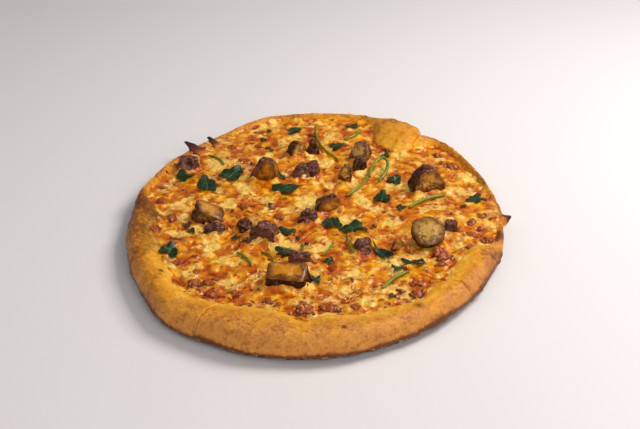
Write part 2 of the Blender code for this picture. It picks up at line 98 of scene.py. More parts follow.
def dome(away: Array) -> Array:
    """Height of a half ball of radius 1 at a distance from its middle: sqrt(1 - r^2), 0 outside."""
    return np.sqrt(np.clip(1 - away**2, 0, 1))


def round_angles(count: int) -> Array:
    """Angles of points spread evenly round a ring, in radians."""
    return np.arange(count) * TURN / count


def turned(along: Array, across: Array, angle: Array) -> tuple[Array, Array]:
    """Flat vectors turned counter-clockwise by an angle in radians."""
    sine, cosine = np.sin(angle), np.cos(angle)
    return along * cosine - across * sine, along * sine + across * cosine


def unit(vectors: Array) -> Array:
    """Vectors divided by their lengths."""
    return vectors / np.maximum(np.linalg.norm(vectors, axis=-1, keepdims=True), 1e-12)


class Noise:
    """Smooth random fields from one table of slopes, the same in each run."""

    ENTRIES = 256
    GAIN = 1.6

    def __init__(self, seed: int) -> None:
        """Fills the table from a seed."""
        rng = np.random.default_rng(seed)
        self.order = rng.permutation(self.ENTRIES)
        self.slopes = unit(rng.normal(size=(self.ENTRIES, 3)))
        self.lots = rng.random((self.ENTRIES, 3))

    def hashed(self, *cells: Array) -> Array:
        """A table entry for each whole-numbered cell."""
        key = np.zeros(cells[0].shape, int)
        for cell in cells:
            key = self.order[(key + cell.astype(int)) % self.ENTRIES]
        return key

    def at(self, scale: float, *axes: Array) -> Array:
        """Gradient noise, about -1 to 1.

        Each corner of a cell gives the slope there times the way from it, and the corners are
        weighed with the quintic fade 6t^5 - 15t^4 + 10t^3 along each axis.

        Args:
            scale: size of a cell, in the units of the axes.
            axes: two or three coordinate arrays.

        Returns:
            One value for each point.
        """
        places = [axis / scale for axis in axes]
        cells = [np.floor(place) for place in places]
        shares = [place - cell for place, cell in zip(places, cells)]
        fades = [t * t * t * (t * (6 * t - 15) + 10) for t in shares]
        total = np.zeros(np.broadcast(*axes).shape)
        for corner in itertools.product((0, 1), repeat=len(axes)):
            slope = self.slopes[self.hashed(*(cell + side for cell, side in zip(cells, corner)))]
            rise = sum(slope[..., k] * (shares[k] - side) for k, side in enumerate(corner))
            weight = np.ones(total.shape)
            for fade, side in zip(fades, corner):
                weight = weight * (fade if side else 1 - fade)
            total += weight * rise
        return self.GAIN * total

    def rough(self, scale: float, *axes: Array, octaves: int = 3) -> Array:
        """Noise with finer layers added, each at half the size and half the height of the last.

        Args:
            scale: size of a cell of the first layer.
            axes: coordinate arrays.
            octaves: count of layers.

        Returns:
            One value for each point.
        """
        total = self.at(scale, *axes)
        for octave in range(1, octaves):
            total = total + 0.5**octave * self.at(scale * 0.5**octave, *(a + 37.0 * octave for a in axes))
        return total

    def cells(self, size: float, x: Array, y: Array) -> tuple[Array, Array]:
        """Scattered seeds, one in each square: the distance to the nearest, in cells, and its own lot.

        Args:
            size: side of a square.
            x: places along X.
            y: places along Y.

        Returns:
            The distances, and the nearest seed's random number of 0 to 1.
        """
        gx, gy = np.floor(x / size), np.floor(y / size)
        nearest, lot = np.full(x.shape, 9.0), np.zeros(x.shape)
        for i, j in itertools.product((-1, 0, 1), repeat=2):
            seed = self.lots[self.hashed(gx + i, gy + j)]
            away = np.hypot(x / size - gx - i - seed[..., 0], y / size - gy - j - seed[..., 1])
            lot = np.where(away < nearest, seed[..., 2], lot)
            nearest = np.minimum(nearest, away)
        return nearest, lot


@dataclass(frozen=True)
class Plan:
    """Outline, rim and knife cuts of the pizza, as functions of the heading.

    Rows of three are swellings (heading, spread, height) or waves (height, count, phase).
    """

    box_middle: Place = (1.24, 2.17)
    pole: Place = (-1.3, 1.9)
    long_radius: float = 168.0
    short_radius: float = 133.0
    long_heading: float = 84.0
    pushes: tuple[Spot, ...] = (
        (236, 15, 5.5), (256, 9, 1.6), (76, 9, 3.4), (104, 9, 3.0), (30, 22, -2.6), (158, 13, -1.6),
        (298, 14, -1.6),
    )
    outline_waves: tuple[Spot, ...] = ((0.35, 11, 0), (0.3, 17, 1))
    narrow_rim: float = 6.5
    ledge: float = 19.0
    ledge_from: Place = (168, 188)
    ledge_to: Place = (333, 347)
    front_swell: Spot = (260, 20, 14)
    bubble_at: Place = (63.0, 9.5)
    bubble_width: float = 37.0
    bubble_rise: float = 5.0
    lobes: tuple[Spot, ...] = (
        (267.3, 3.4, 9), (340, 4, 8), (196, 3.6, 6), (2, 8, 3), (131, 8, 3), (301, 4, 5), (228, 4, 4),
    )
    edge_waves: tuple[Spot, ...] = ((1.0, 14, 0), (0.8, 23, 2))
    floor: float = 8.0
    wall_top: float = 12.2
    topping_base: float = 12.8
    belly: float = 7.6
    rim_height: float = 16.0
    front_rise: Spot = (258, 62, 3.6)
    crest_waves: tuple[Spot, ...] = ((0.35, 7, 1), (0.3, 13, 0))
    crest_share: float = 0.36
    flat_spots: tuple[Place, ...] = ((0, 11), (131, 11))
    gap: float = 0.3
    cuts: tuple[tuple[Place, Place], ...] = (((-67, -137), (82, 124)), ((92, -100), (-122, 47)))
    cut_bed: float = 10.2
    notch_heading: float = 55.7
    notch_depth: float = 6.36

    def world(self, points: Array) -> Array:
        """Points in plan millimetres, (..., 3), as world points in metres."""
        return (points - np.array((*self.box_middle, 0.0))) * MM

    def polar(self, x: Array, y: Array) -> tuple[Array, Array]:
        """Heading and radius of plan places, about the pole."""
        dx, dy = x - self.pole[0], y - self.pole[1]
        return np.degrees(np.arctan2(dy, dx)) % 360, np.hypot(dx, dy)

    def flat(self, heading: Array, radius: Array) -> tuple[Array, Array]:
        """Plan places of headings and radii about the pole."""
        angle = np.radians(heading)
        return self.pole[0] + radius * np.cos(angle), self.pole[1] + radius * np.sin(angle)

    def outline(self, heading: Array) -> Array:
        """Radius of the outer edge: an oval, a few wide swellings and a slight unevenness.

        Args:
            heading: headings in degrees.

        Returns:
            Radii in millimetres.
        """
        angle = np.radians(heading - self.long_heading)
        across = np.hypot(self.short_radius * np.cos(angle), self.long_radius * np.sin(angle))
        radius = self.long_radius * self.short_radius / across
        return radius + swells(heading, self.pushes) + waves(heading, self.outline_waves)

    def bubble(self, heading: Array) -> Array:
        """Share of the big dough bubble: exp of minus the fourth power of the way from its middle."""
        middle, spread = self.bubble_at
        return np.exp(-((signed(heading - middle) / spread) ** 4))

    def ledge_share(self, heading: Array) -> Array:
        """1 along the broad front ledge of the rim, 0 along its narrow sides and back."""
        heading = heading % 360
        return step(heading, *self.ledge_from) * (1 - step(heading, *self.ledge_to))

    def cheese_edge(self, heading: Array) -> Array:
        """Radius where the cheese ends: the outline less the rim's width, with melted lobes.

        Args:
            heading: headings in degrees.

        Returns:
            Radii in millimetres.
        """
        ledge = self.ledge_share(heading)
        width = self.narrow_rim + self.ledge * ledge + swells(heading, (self.front_swell,))
        width = width + self.bubble_width * self.bubble(heading) - swells(heading, self.lobes)
        return self.outline(heading) - width + ledge * waves(heading, self.edge_waves)

    def rim_top(self, heading: Array) -> Array:
        """Height of the rim's crest. It sinks where burnt cheese lies over it.

        Args:
            heading: headings in degrees.

        Returns:
            Heights in millimetres.
        """
        top = self.rim_height + self.bubble_rise * self.bubble(heading)
        top = top + swells(heading, (self.front_rise,)) + waves(heading, self.crest_waves)
        sunk = np.max([np.sqrt(bump(heading, at, spread)) for at, spread in self.flat_spots], axis=0)
        return top + (self.wall_top + 0.1 - top) * np.minimum(1, 1.25 * sunk) * (sunk > 0.05)

    def rim_surface(self, heading: Array, radius: Array) -> Array:
        """Height of the rim's inner slope: a parabola from the recess wall up to the crest.

        Args:
            heading: headings in degrees.
            radius: radii about the pole.

        Returns:
            Heights in millimetres.
        """
        edge, inner = self.outline(heading), self.cheese_edge(heading) + self.gap
        share = np.maximum((edge - radius) / (edge - inner), self.crest_share)
        rise = 1 - ((share - self.crest_share) / (1 - self.crest_share)) ** 2
        return self.wall_top + np.maximum(rise, -1.5) * (self.rim_top(heading) - self.wall_top)

    def cut_distance(self, cut: int, x: Array, y: Array) -> tuple[Array, Array]:
        """Signed distance to a cut's line and the share of the way along it.

        Args:
            cut: number of the cut.
            x: plan places along X.
            y: plan places along Y.

        Returns:
            The distances in millimetres, and the shares.
        """
        (x0, y0), (x1, y1) = self.cuts[cut]
        length = np.hypot(x1 - x0, y1 - y0)
        dx, dy = (x1 - x0) / length, (y1 - y0) / length
        return (y - y0) * dx - (x - x0) * dy, ((x - x0) * dx + (y - y0) * dy) / length


def add_mesh(name: str, points: Array, quads: Array, triangles: Array, layers: Layers) -> Object:
    """A smooth mesh object made from whole arrays.

    Args:
        name: name of the piece.
        points: vertex places in metres, (n, 3).
        quads: vertex numbers of the four-sided faces, (q, 4).
        triangles: vertex numbers of the three-sided faces, (t, 3).
        layers: a number for each vertex, under the name that the finish reads.

    Returns:
        The new object, at the origin.
    """
    mesh = bpy.data.meshes.new(name)
    mesh.vertices.add(len(points))
    mesh.vertices.foreach_set("co", np.ascontiguousarray(points, np.float32).ravel())
    corners = np.concatenate((quads.ravel(), triangles.ravel())).astype(np.int32)
    mesh.loops.add(len(corners))
    mesh.loops.foreach_set("vertex_index", corners)
    starts = np.concatenate((4 * np.arange(len(quads)), 4 * len(quads) + 3 * np.arange(len(triangles))))
    mesh.polygons.add(len(starts))
    mesh.polygons.foreach_set("loop_start", starts.astype(np.int32))
    mesh.update(calc_edges=True)
    mesh.validate()
    for layer, values in layers.items():
        attribute = mesh.attributes.new(layer, "FLOAT", "POINT")
        attribute.data.foreach_set("value", np.ascontiguousarray(values, np.float32).ravel())
    mesh.shade_smooth()
    piece = bpy.data.objects.new(name, mesh)
    bpy.context.scene.collection.objects.link(piece)
    return piece


def loft_faces(rows: int, around: int) -> tuple[Array, Array]:
    """Faces of closed rings joined row to row, with a fan at each end to one more vertex there.

    Args:
        rows: count of rings.
        around: points in each ring.

    Returns:
        Four-sided faces and three-sided ones.
    """
    ring = np.arange(around)
    here = np.arange(rows - 1)[:, None] * around + ring
    there = np.arange(rows - 1)[:, None] * around + (ring + 1) % around
    quads = np.stack((here, there, there + around, here + around), axis=-1).reshape(-1, 4)
    first, last = rows * around, rows * around + 1
    bottom = np.stack((np.full(around, first), (ring + 1) % around, ring), axis=-1)
    end = (rows - 1) * around
    top = np.stack((np.full(around, last), end + ring, end + (ring + 1) % around), axis=-1)
    return quads, np.concatenate((bottom, top))


def loft(name: str, rings: Array, layers: Layers, ends: Optional[Array] = None) -> Object:
    """A closed surface through rings of points.

    The two ends are closed by fans to a point, the mean of the end ring unless one is given. Rings
    run counter-clockwise seen from the last ring back to the first. A stack of many such sets of
    rings makes one piece of many closed bits.

    Args:
        name: name of the piece.
        rings: points in metres, (rows, around, 3) or (bits, rows, around, 3).
        layers: a value for each point of the rings.
        ends: the two end points, (2, 3).

    Returns:
        The new object.
    """
    rows, around = rings.shape[-3:-1]
    rings = rings.reshape(-1, rows, around, 3)
    bits, count = len(rings), rows * around + 2
    if ends is None:
        ends = np.stack((rings[:, 0].mean(axis=1), rings[:, -1].mean(axis=1)), axis=1)
    points = np.concatenate((rings.reshape(bits, -1, 3), ends.reshape(-1, 2, 3)), axis=1)
    values = {}
    for key, layer in layers.items():
        layer = np.broadcast_to(layer, rings.shape[:-1]).reshape(bits, -1)
        caps = layer[:, :around].mean(axis=1), layer[:, -around:].mean(axis=1)
        values[key] = np.concatenate((layer, np.stack(caps, axis=1)), axis=1)
    start = count * np.arange(bits)[:, None, None]
    quads, triangles = (
        (faces[None] + start).reshape(-1, faces.shape[1]) for faces in loft_faces(rows, around)
    )
    return add_mesh(name, points.reshape(-1, 3), quads, triangles, values)


def surface_normals(grid: Array, wrap: bool = True) -> Array:
    """Unit normals of a grid of points, from the differences between its neighbours."""
    down = np.gradient(grid, axis=0)
    across = np.roll(grid, -1, axis=1) - np.roll(grid, 1, axis=1) if wrap else np.gradient(grid, axis=1)
    return unit(np.cross(across, down))


def tint(red: float, green: float, blue: float) -> Colour:
    """A screen colour of 0 to 255, as the linear colour that a shader takes."""
    share = np.array((red, green, blue)) / 255
    linear = np.where(share <= 0.04045, share / 12.92, ((share + 0.055) / 1.055) ** 2.4)
    return tuple(float(part) for part in linear)


class Value:
    """A number or colour in a shader, with arithmetic that adds Math nodes."""

    def __init__(self, graph: "Graph", socket: "bpy.types.NodeSocket") -> None:
        """Wraps an output of a node of the graph."""
        self.graph = graph
        self.socket = socket

    def math(self, operation: str, *others: "Term") -> "Value":
        """The result of one Math node on this and other terms."""
        return self.graph.node("ShaderNodeMath", {"operation": operation}, dict(enumerate((self, *others))))

    __add__ = __radd__ = partialmethod(math, "ADD")
    __sub__ = partialmethod(math, "SUBTRACT")
    __mul__ = __rmul__ = partialmethod(math, "MULTIPLY")
    __abs__ = partialmethod(math, "ABSOLUTE")
    sine = partialmethod(math, "SINE")

    def __rsub__(self, other: "Term") -> "Value":
        """A number less this."""
        return self.graph.node("ShaderNodeMath", {"operation": "SUBTRACT"}, {0: other, 1: self})

    def broken(self, *noises: tuple[float, "Value"]) -> "Value":
        """This with noises of about 0 to 1 added about their middle, each times its share."""
        value = self
        for share, noise in noises:
            value = value + share * (noise - 0.5)
        return value

    def step(self, start: float, end: float) -> "Value":
        """Smooth step from 0 at the start to 1 at the end."""
        sockets = {"Value": self, "From Min": start, "From Max": end}
        return self.graph.node("ShaderNodeMapRange", {"interpolation_type": "SMOOTHSTEP"}, sockets)


Term = Union[Value, float]


class Graph:
    """The nodes of one material."""

    def __init__(self, name: str) -> None:
        """Starts an empty material that reads Object coordinates."""
        self.material = bpy.data.materials.new(name)
        self.material.use_nodes = True
        self.tree = self.material.node_tree
        self.tree.nodes.clear()
        self.place = self.node("ShaderNodeTexCoord", out="Object")

    def node(
        self,
        kind: str,
        settings: Optional[Mapping[str, Setting]] = None,
        sockets: Optional[Mapping[Union[str, int], object]] = None,
        out: Union[str, int] = 0,
    ) -> Value:
        """Adds a node.

        Args:
            kind: the node's type.
            settings: its own settings, set first; "stops" are the places and colours of a ramp.
            sockets: numbers, colours or links for its inputs.
            out: which of its outputs is wanted.

        Returns:
            That output.
        """
        made = self.tree.nodes.new(kind)
        for key, value in (settings or {}).items():
            if key == "stops":
                self.set_stops(made.color_ramp, value)
            else:
                setattr(made, key, value)
        for key, value in (sockets or {}).items():
            socket = made.inputs[key]
            if isinstance(value, Value):
                self.tree.links.new(value.socket, socket)
            elif isinstance(value, tuple) and socket.type == "RGBA":
                socket.default_value = (*value, 1.0)
            else:
                socket.default_value = value
        return Value(self, made.outputs[out])

    @staticmethod
    def set_stops(ramp: "bpy.types.ColorRamp", stops: Sequence[tuple[float, Colour]]) -> None:
        """Puts the places and colours of a ramp."""
        while len(ramp.elements) < len(stops):
            ramp.elements.new(0.5)
        for element, (place, colour) in zip(ramp.elements, stops):
            element.position = place
            element.color = (*colour, 1.0)

    def layer(self, name: str) -> Value:
        """A value stored on the mesh."""
        return self.node("ShaderNodeAttribute", {"attribute_name": name}, out="Fac")

    def noise(self, size: float, detail: float = 2.0, rough: float = 0.5, warp: float = 0.0) -> Value:
        """Noise of about 0 to 1 whose lumps are a number of millimetres across."""
        sockets = {
            "Vector": self.place, "Scale": 1 / (size * MM), "Detail": detail, "Roughness": rough,
            "Distortion": warp,
        }
        return self.node("ShaderNodeTexNoise", sockets=sockets)

    def mix(self, share: Term, first: object, second: object) -> Value:
        """Mixes two colours."""
        settings = {"data_type": "RGBA", "blend_type": "MIX", "clamp_factor": True}
        return self.node("ShaderNodeMix", settings, {0: share, 6: first, 7: second}, out=2)

    def coats(self, ground: object, *coats: tuple[Term, object]) -> Value:
        """A ground colour with coats over it, each a share and a colour."""
        for share, colour in coats:
            ground = self.mix(share, ground, colour)
        return ground

    def ramp(self, share: Value, stops: Sequence[tuple[float, Colour]]) -> Value:
        """A colour that runs through stops."""
        return self.node("ShaderNodeValToRGB", {"stops": stops}, {"Fac": share}, out="Color")

    def finish(self, relief: Optional[Value], depth: float, **sockets: object) -> Material:
        """Ends the graph with a Principled shader.

        Args:
            relief: height of the fine surface, 0 to 1.
            depth: what a height of 1 stands for, in millimetres.
            sockets: the shader's inputs, with _ for each space in their names.

        Returns:
            The material.
        """
        inputs = {key.replace("_", " "): value for key, value in sockets.items()}
        if relief is not None:
            ups = {"Strength": 1.0, "Distance": depth * MM, "Height": relief}
            inputs["Normal"] = self.node("ShaderNodeBump", sockets=ups, out="Normal")
        shader = self.node("ShaderNodeBsdfPrincipled", sockets=inputs)
        output = self.tree.nodes.new("ShaderNodeOutputMaterial")
        self.tree.links.new(shader.socket, output.inputs["Surface"])
        return self.material


@dataclass(frozen=True)
class CrustFinish:
    """Baked dough: golden, finely mottled, browned and darkened with painted shade by masks, oily and
    yellow next to the cheese.
    """

    golden: Colour = tint(232, 152, 30)
    tan: Colour = tint(204, 118, 22)
    rosy: Colour = tint(214, 140, 68)
    light: Colour = tint(250, 196, 84)
    freckle: Colour = tint(140, 66, 10)
    # Browning colour, also used as painted shade.
    toast_and_shade: Colour = tint(104, 46, 10)
    # Char colour, also used as painted shade in the gap under the rim's edge.
    char_and_shade: Colour = tint(48, 22, 12)
    buttered: Colour = tint(244, 164, 14)
    spilled: Colour = tint(254, 208, 92)
    flour: Colour = tint(250, 216, 150)
    roughness: float = 0.5

    def material(self) -> Material:
        """Mottled ground, freckles, then browning, butter, flour and char over it; the browning and the
        char carry painted shade as well.
        """
        graph = Graph("baked_crust")
        broad, fine, grain = graph.noise(11, 3), graph.noise(2.6, 3, 0.6), graph.noise(0.9, 2)
        toast_and_shade, butter, char_and_shade = graph.layer("toast_and_shade"), graph.layer("butter"), graph.layer("char_and_shade")
        rosy = graph.layer("rosy").broken((1.2, broad), (0.4, fine)).step(0.2, 0.9)
        speckle, calm = graph.noise(1.7, 3, 0.7), 1 - 0.65 * graph.layer("rosy")
        spill = butter.broken((0.6, broad)).step(0.35, 1.0) * graph.noise(5.5, 3, 0.6).step(0.47, 0.6)
        flour = (graph.noise(2.2, 3, 0.7) + 0.2 * graph.layer("flour")).step(0.68, 0.76)
        colour = graph.coats(
            self.golden,
            ((0.6 * broad + 0.4 * fine).step(0.38, 0.62), self.tan),
            (rosy * 0.7, self.rosy),
            (graph.noise(4.5, 3, 0.6).step(0.5, 0.68) * 0.5, self.freckle),
            ((1 - speckle + 0.4 * broad).step(0.7, 0.9) * 0.5 * calm, self.freckle),
            (butter.broken((0.5, broad), (0.2, fine)).step(0.1, 0.8), self.buttered),
            (spill * 0.65, self.spilled),
            ((speckle - 0.2 * toast_and_shade).step(0.44, 0.62) * 0.55 * calm, self.light),
            # Browning coat, also painted shade: darker down the outer wall and on the left side.
            (toast_and_shade.broken((0.9, fine), (0.5, broad)).step(0.32, 0.95) * 0.92, self.toast_and_shade),
            (flour * graph.layer("flour"), self.flour),
            # Char, with painted shade of the gap under the rim's edge.
            (char_and_shade.broken((0.8, fine)).step(0.4, 0.9), self.char_and_shade),
        )
        shine = (self.roughness - 0.16 * butter).broken((0.2, grain))
        relief = 0.5 * fine + 0.35 * grain + 0.15 * graph.noise(0.45, 1)
        return graph.finish(
            relief, 0.8, Base_Color=colour, Roughness=shine, Subsurface_Weight=0.08,
            Subsurface_Scale=0.003, Specular_IOR_Level=0.24,
        )


@dataclass(frozen=True)
class CheeseFinish:
    """Melted cheese: orange oil in the hollows, yellow to cream on the ridges, browned crisp spots."""

    deep: Colour = tint(120, 40, 0)
    oil: Colour = tint(190, 80, 0)
    golden: Colour = tint(218, 122, 0)
    yellow: Colour = tint(246, 172, 2)
    cream: Colour = tint(254, 220, 116)
    toasted: Colour = tint(232, 160, 70)
    brown: Colour = tint(160, 66, 12)
    crisp: Colour = tint(92, 30, 8)
    blister: Colour = tint(164, 74, 26)
    blister_dark: Colour = tint(72, 22, 8)
    roughness: float = 0.22

    def material(self) -> Material:
        """A ramp from the hollows to the ridges, then cream, browning and blisters over it."""
        graph = Graph("melted_cheese")
        fine, grain = graph.noise(2.2, 3, 0.6, 0.6), graph.noise(0.8, 2)
        level = graph.layer("ridge").broken((0.34, fine), (0.12, grain))
        tones = self.deep, self.oil, self.golden, self.yellow, self.cream
        cream = graph.layer("cream").broken((0.7, fine), (0.2, grain)).step(0.08, 0.85)
        pale = graph.coats(
            self.yellow,
            (fine.step(0.3, 0.56), self.cream),
            (graph.noise(4.0, 3, 0.6).step(0.5, 0.66) * 0.6, self.toasted),
        )
        browned = graph.layer("browned").broken((0.5, fine), (0.2, grain))
        blister, oil = graph.layer("blister"), graph.layer("oil")
        top = blister.step(0.25, 0.85).broken((1.3, fine), (0.4, grain))
        skin = graph.mix(top.step(0.2, 0.95), self.blister_dark, self.blister)
        colour = graph.coats(
            graph.ramp(level, tuple(zip((0.05, 0.22, 0.45, 0.68, 0.97), tones))),
            (cream * 0.92, pale),
            (oil.step(0.2, 1.0) * 0.7, self.oil),
            (browned.step(0.16, 0.62) * 0.8, self.brown),
            (browned.step(0.62, 1.05) * 0.85, self.crisp),
            (blister.broken((0.3, fine)).step(0.08, 0.35) * 0.93, skin),
        )
        shine = (self.roughness - 0.1 * oil - 0.08 * blister).broken((0.25, grain))
        relief = 0.5 * fine + 0.5 * grain
        return graph.finish(
            relief, 0.4, Base_Color=colour, Roughness=shine, Subsurface_Weight=0.1,
            Subsurface_Scale=0.0015, Specular_IOR_Level=0.2, Coat_Weight=0.3, Coat_Roughness=0.07,
        )


@dataclass(frozen=True)
class MushroomFinish:
    """Roast mushroom: dark glossy skin, golden or pale cut flesh, dark juice along the edges."""

    skin: Colour = tint(126, 64, 20)
    skin_dark: Colour = tint(38, 14, 5)
    purple: Colour = tint(140, 84, 62)
    purple_dark: Colour = tint(48, 20, 14)
    flesh: Colour = tint(206, 130, 14)
    pale: Colour = tint(230, 184, 92)
    juice: Colour = tint(92, 40, 6)

    def material(self) -> Material:
        """Skin and flesh by the mask of the cut, each with its own mottling."""
        graph = Graph("roast_mushroom")
        broad, fine = graph.noise(4.0, 3, 0.55, 0.8), graph.noise(1.3, 3, 0.6)
        dry, low = graph.layer("dry"), 1 - graph.layer("height")
        purple = graph.coats(
            self.purple_dark,
            ((0.8 * broad + 0.2 * fine).step(0.34, 0.64), self.purple),
            ((1 - graph.layer("fold").step(0.0, 0.5)) * 0.5, self.purple_dark),
        )
        skin = graph.coats(
            self.skin_dark,
            ((0.75 * broad + 0.25 * fine - 0.14 * low).step(0.36, 0.66), self.skin),
            (dry.broken((0.9, broad)).step(0.25, 0.7), purple),
        )
        border = graph.layer("edge").broken((0.7, broad), (0.15, fine))
        flesh = graph.coats(
            self.flesh,
            (graph.layer("pale").broken((0.9, broad)).step(0.25, 0.85), self.pale),
            (graph.noise(7.0, 2).broken((0.1, fine)).step(0.5, 0.66) * 0.55, self.pale),
            ((0.9 * broad + 0.1 * fine + 0.16 * low).step(0.5, 0.72) * 0.75, self.juice),
            (low.broken((0.8, broad)).step(0.55, 0.95) * 0.8, self.juice),
            (border.step(0.35, 1.0) * 0.9, self.juice),
        )
        cut = graph.layer("cut").broken((0.35, fine), (0.7, broad))
        colour = graph.mix(cut.step(0.3, 0.6), skin, flesh)
        shine = 0.16 + 0.22 * dry + 0.15 * fine
        return graph.finish(
            0.15 * fine + 0.85 * broad, 0.6, Base_Color=colour, Roughness=shine, Subsurface_Weight=0.05,
            Subsurface_Scale=0.002, Coat_Weight=0.12, Coat_Roughness=0.1, Specular_IOR_Level=0.25,
        )


@dataclass(frozen=True)
class LeafFinish:
    """Wilted leaf: dark green with paler veins and a painted bluish sheen, patches of grey-green that stand
    for highlights.
    """

    dark: Colour = tint(10, 32, 12)
    green: Colour = tint(26, 58, 18)
    vein: Colour = tint(86, 122, 46)
    painted_sheen: Colour = tint(72, 104, 72)

    def material(self) -> Material:
        """Green by noise, veins from the leaf's own lengthwise and sideways layers."""
        graph = Graph("wilted_leaf")
        along, side = graph.layer("along"), graph.layer("side")
        broad, fine = graph.noise(5, 2), graph.noise(1.1, 2)
        out = abs(side)
        rib = 1 - out.broken((0.04, fine)).step(0.02, 0.09)
        branch = abs(((along - 0.45 * out) * 22.0).sine())
        branch = (1 - branch.step(0.05, 0.3)) * (1 - out.step(0.6, 1.0))
        vein = (rib + 0.45 * branch).step(0.1, 1.1)
        colour = graph.coats(
            self.dark,
            (broad.step(0.35, 0.65), self.green),
            # Painted highlight: grey-green patches where the leaf would shine.
            (broad.step(0.55, 0.75) * 0.35, self.painted_sheen),
            (vein * 0.5, self.vein),
        )
        return graph.finish(
            0.6 * vein + 0.4 * fine, 0.25, Base_Color=colour, Roughness=0.3 + 0.15 * fine,
            Coat_Weight=0.08, Coat_Roughness=0.2, Specular_IOR_Level=0.35,
        )


@dataclass(frozen=True)
class StemFinish:
    """Moist green stalk, streaked along its length, duller where it dried."""

    green: Colour = tint(98, 116, 16)
    light: Colour = tint(146, 156, 40)
    dull: Colour = tint(86, 78, 18)

    def material(self) -> Material:
        """Streaks round the stalk from its own layer, with noise."""
        graph = Graph("green_stem")
        fine = graph.noise(1.6, 2)
        streak = (graph.layer("round") * (5 * TURN) + 4.0 * fine).sine() * 0.5 + 0.5
        colour = graph.coats(
            self.green,
            (0.6 * streak + 0.4 * fine, self.light),
            (graph.noise(5, 2).step(0.52, 0.7) * 0.7, self.dull),
        )
        return graph.finish(
            0.6 * streak + 0.4 * fine, 0.2, Base_Color=colour, Roughness=0.3 + 0.1 * fine,
            Coat_Weight=0.08, Coat_Roughness=0.2, Specular_IOR_Level=0.35,
        )


@dataclass(frozen=True)
class BurntFinish:
    """Burnt cheese: orange where it starts, nearly black at its curled tip."""

    orange: Colour = tint(222, 132, 26)
    brown: Colour = tint(116, 42, 18)
    black: Colour = tint(56, 18, 14)

    def material(self) -> Material:
        """A ramp along the burn, broken up by noise."""
        graph = Graph("burnt_cheese")
        fine = graph.noise(1.8, 3)
        level = graph.layer("burn").broken((0.4, fine))
        colour = graph.ramp(level, ((0.15, self.orange), (0.45, self.brown), (0.85, self.black)))
        shine = 0.3 + 0.2 * fine
        return graph.finish(fine, 0.5, Base_Color=colour, Roughness=shine, Specular_IOR_Level=0.5)


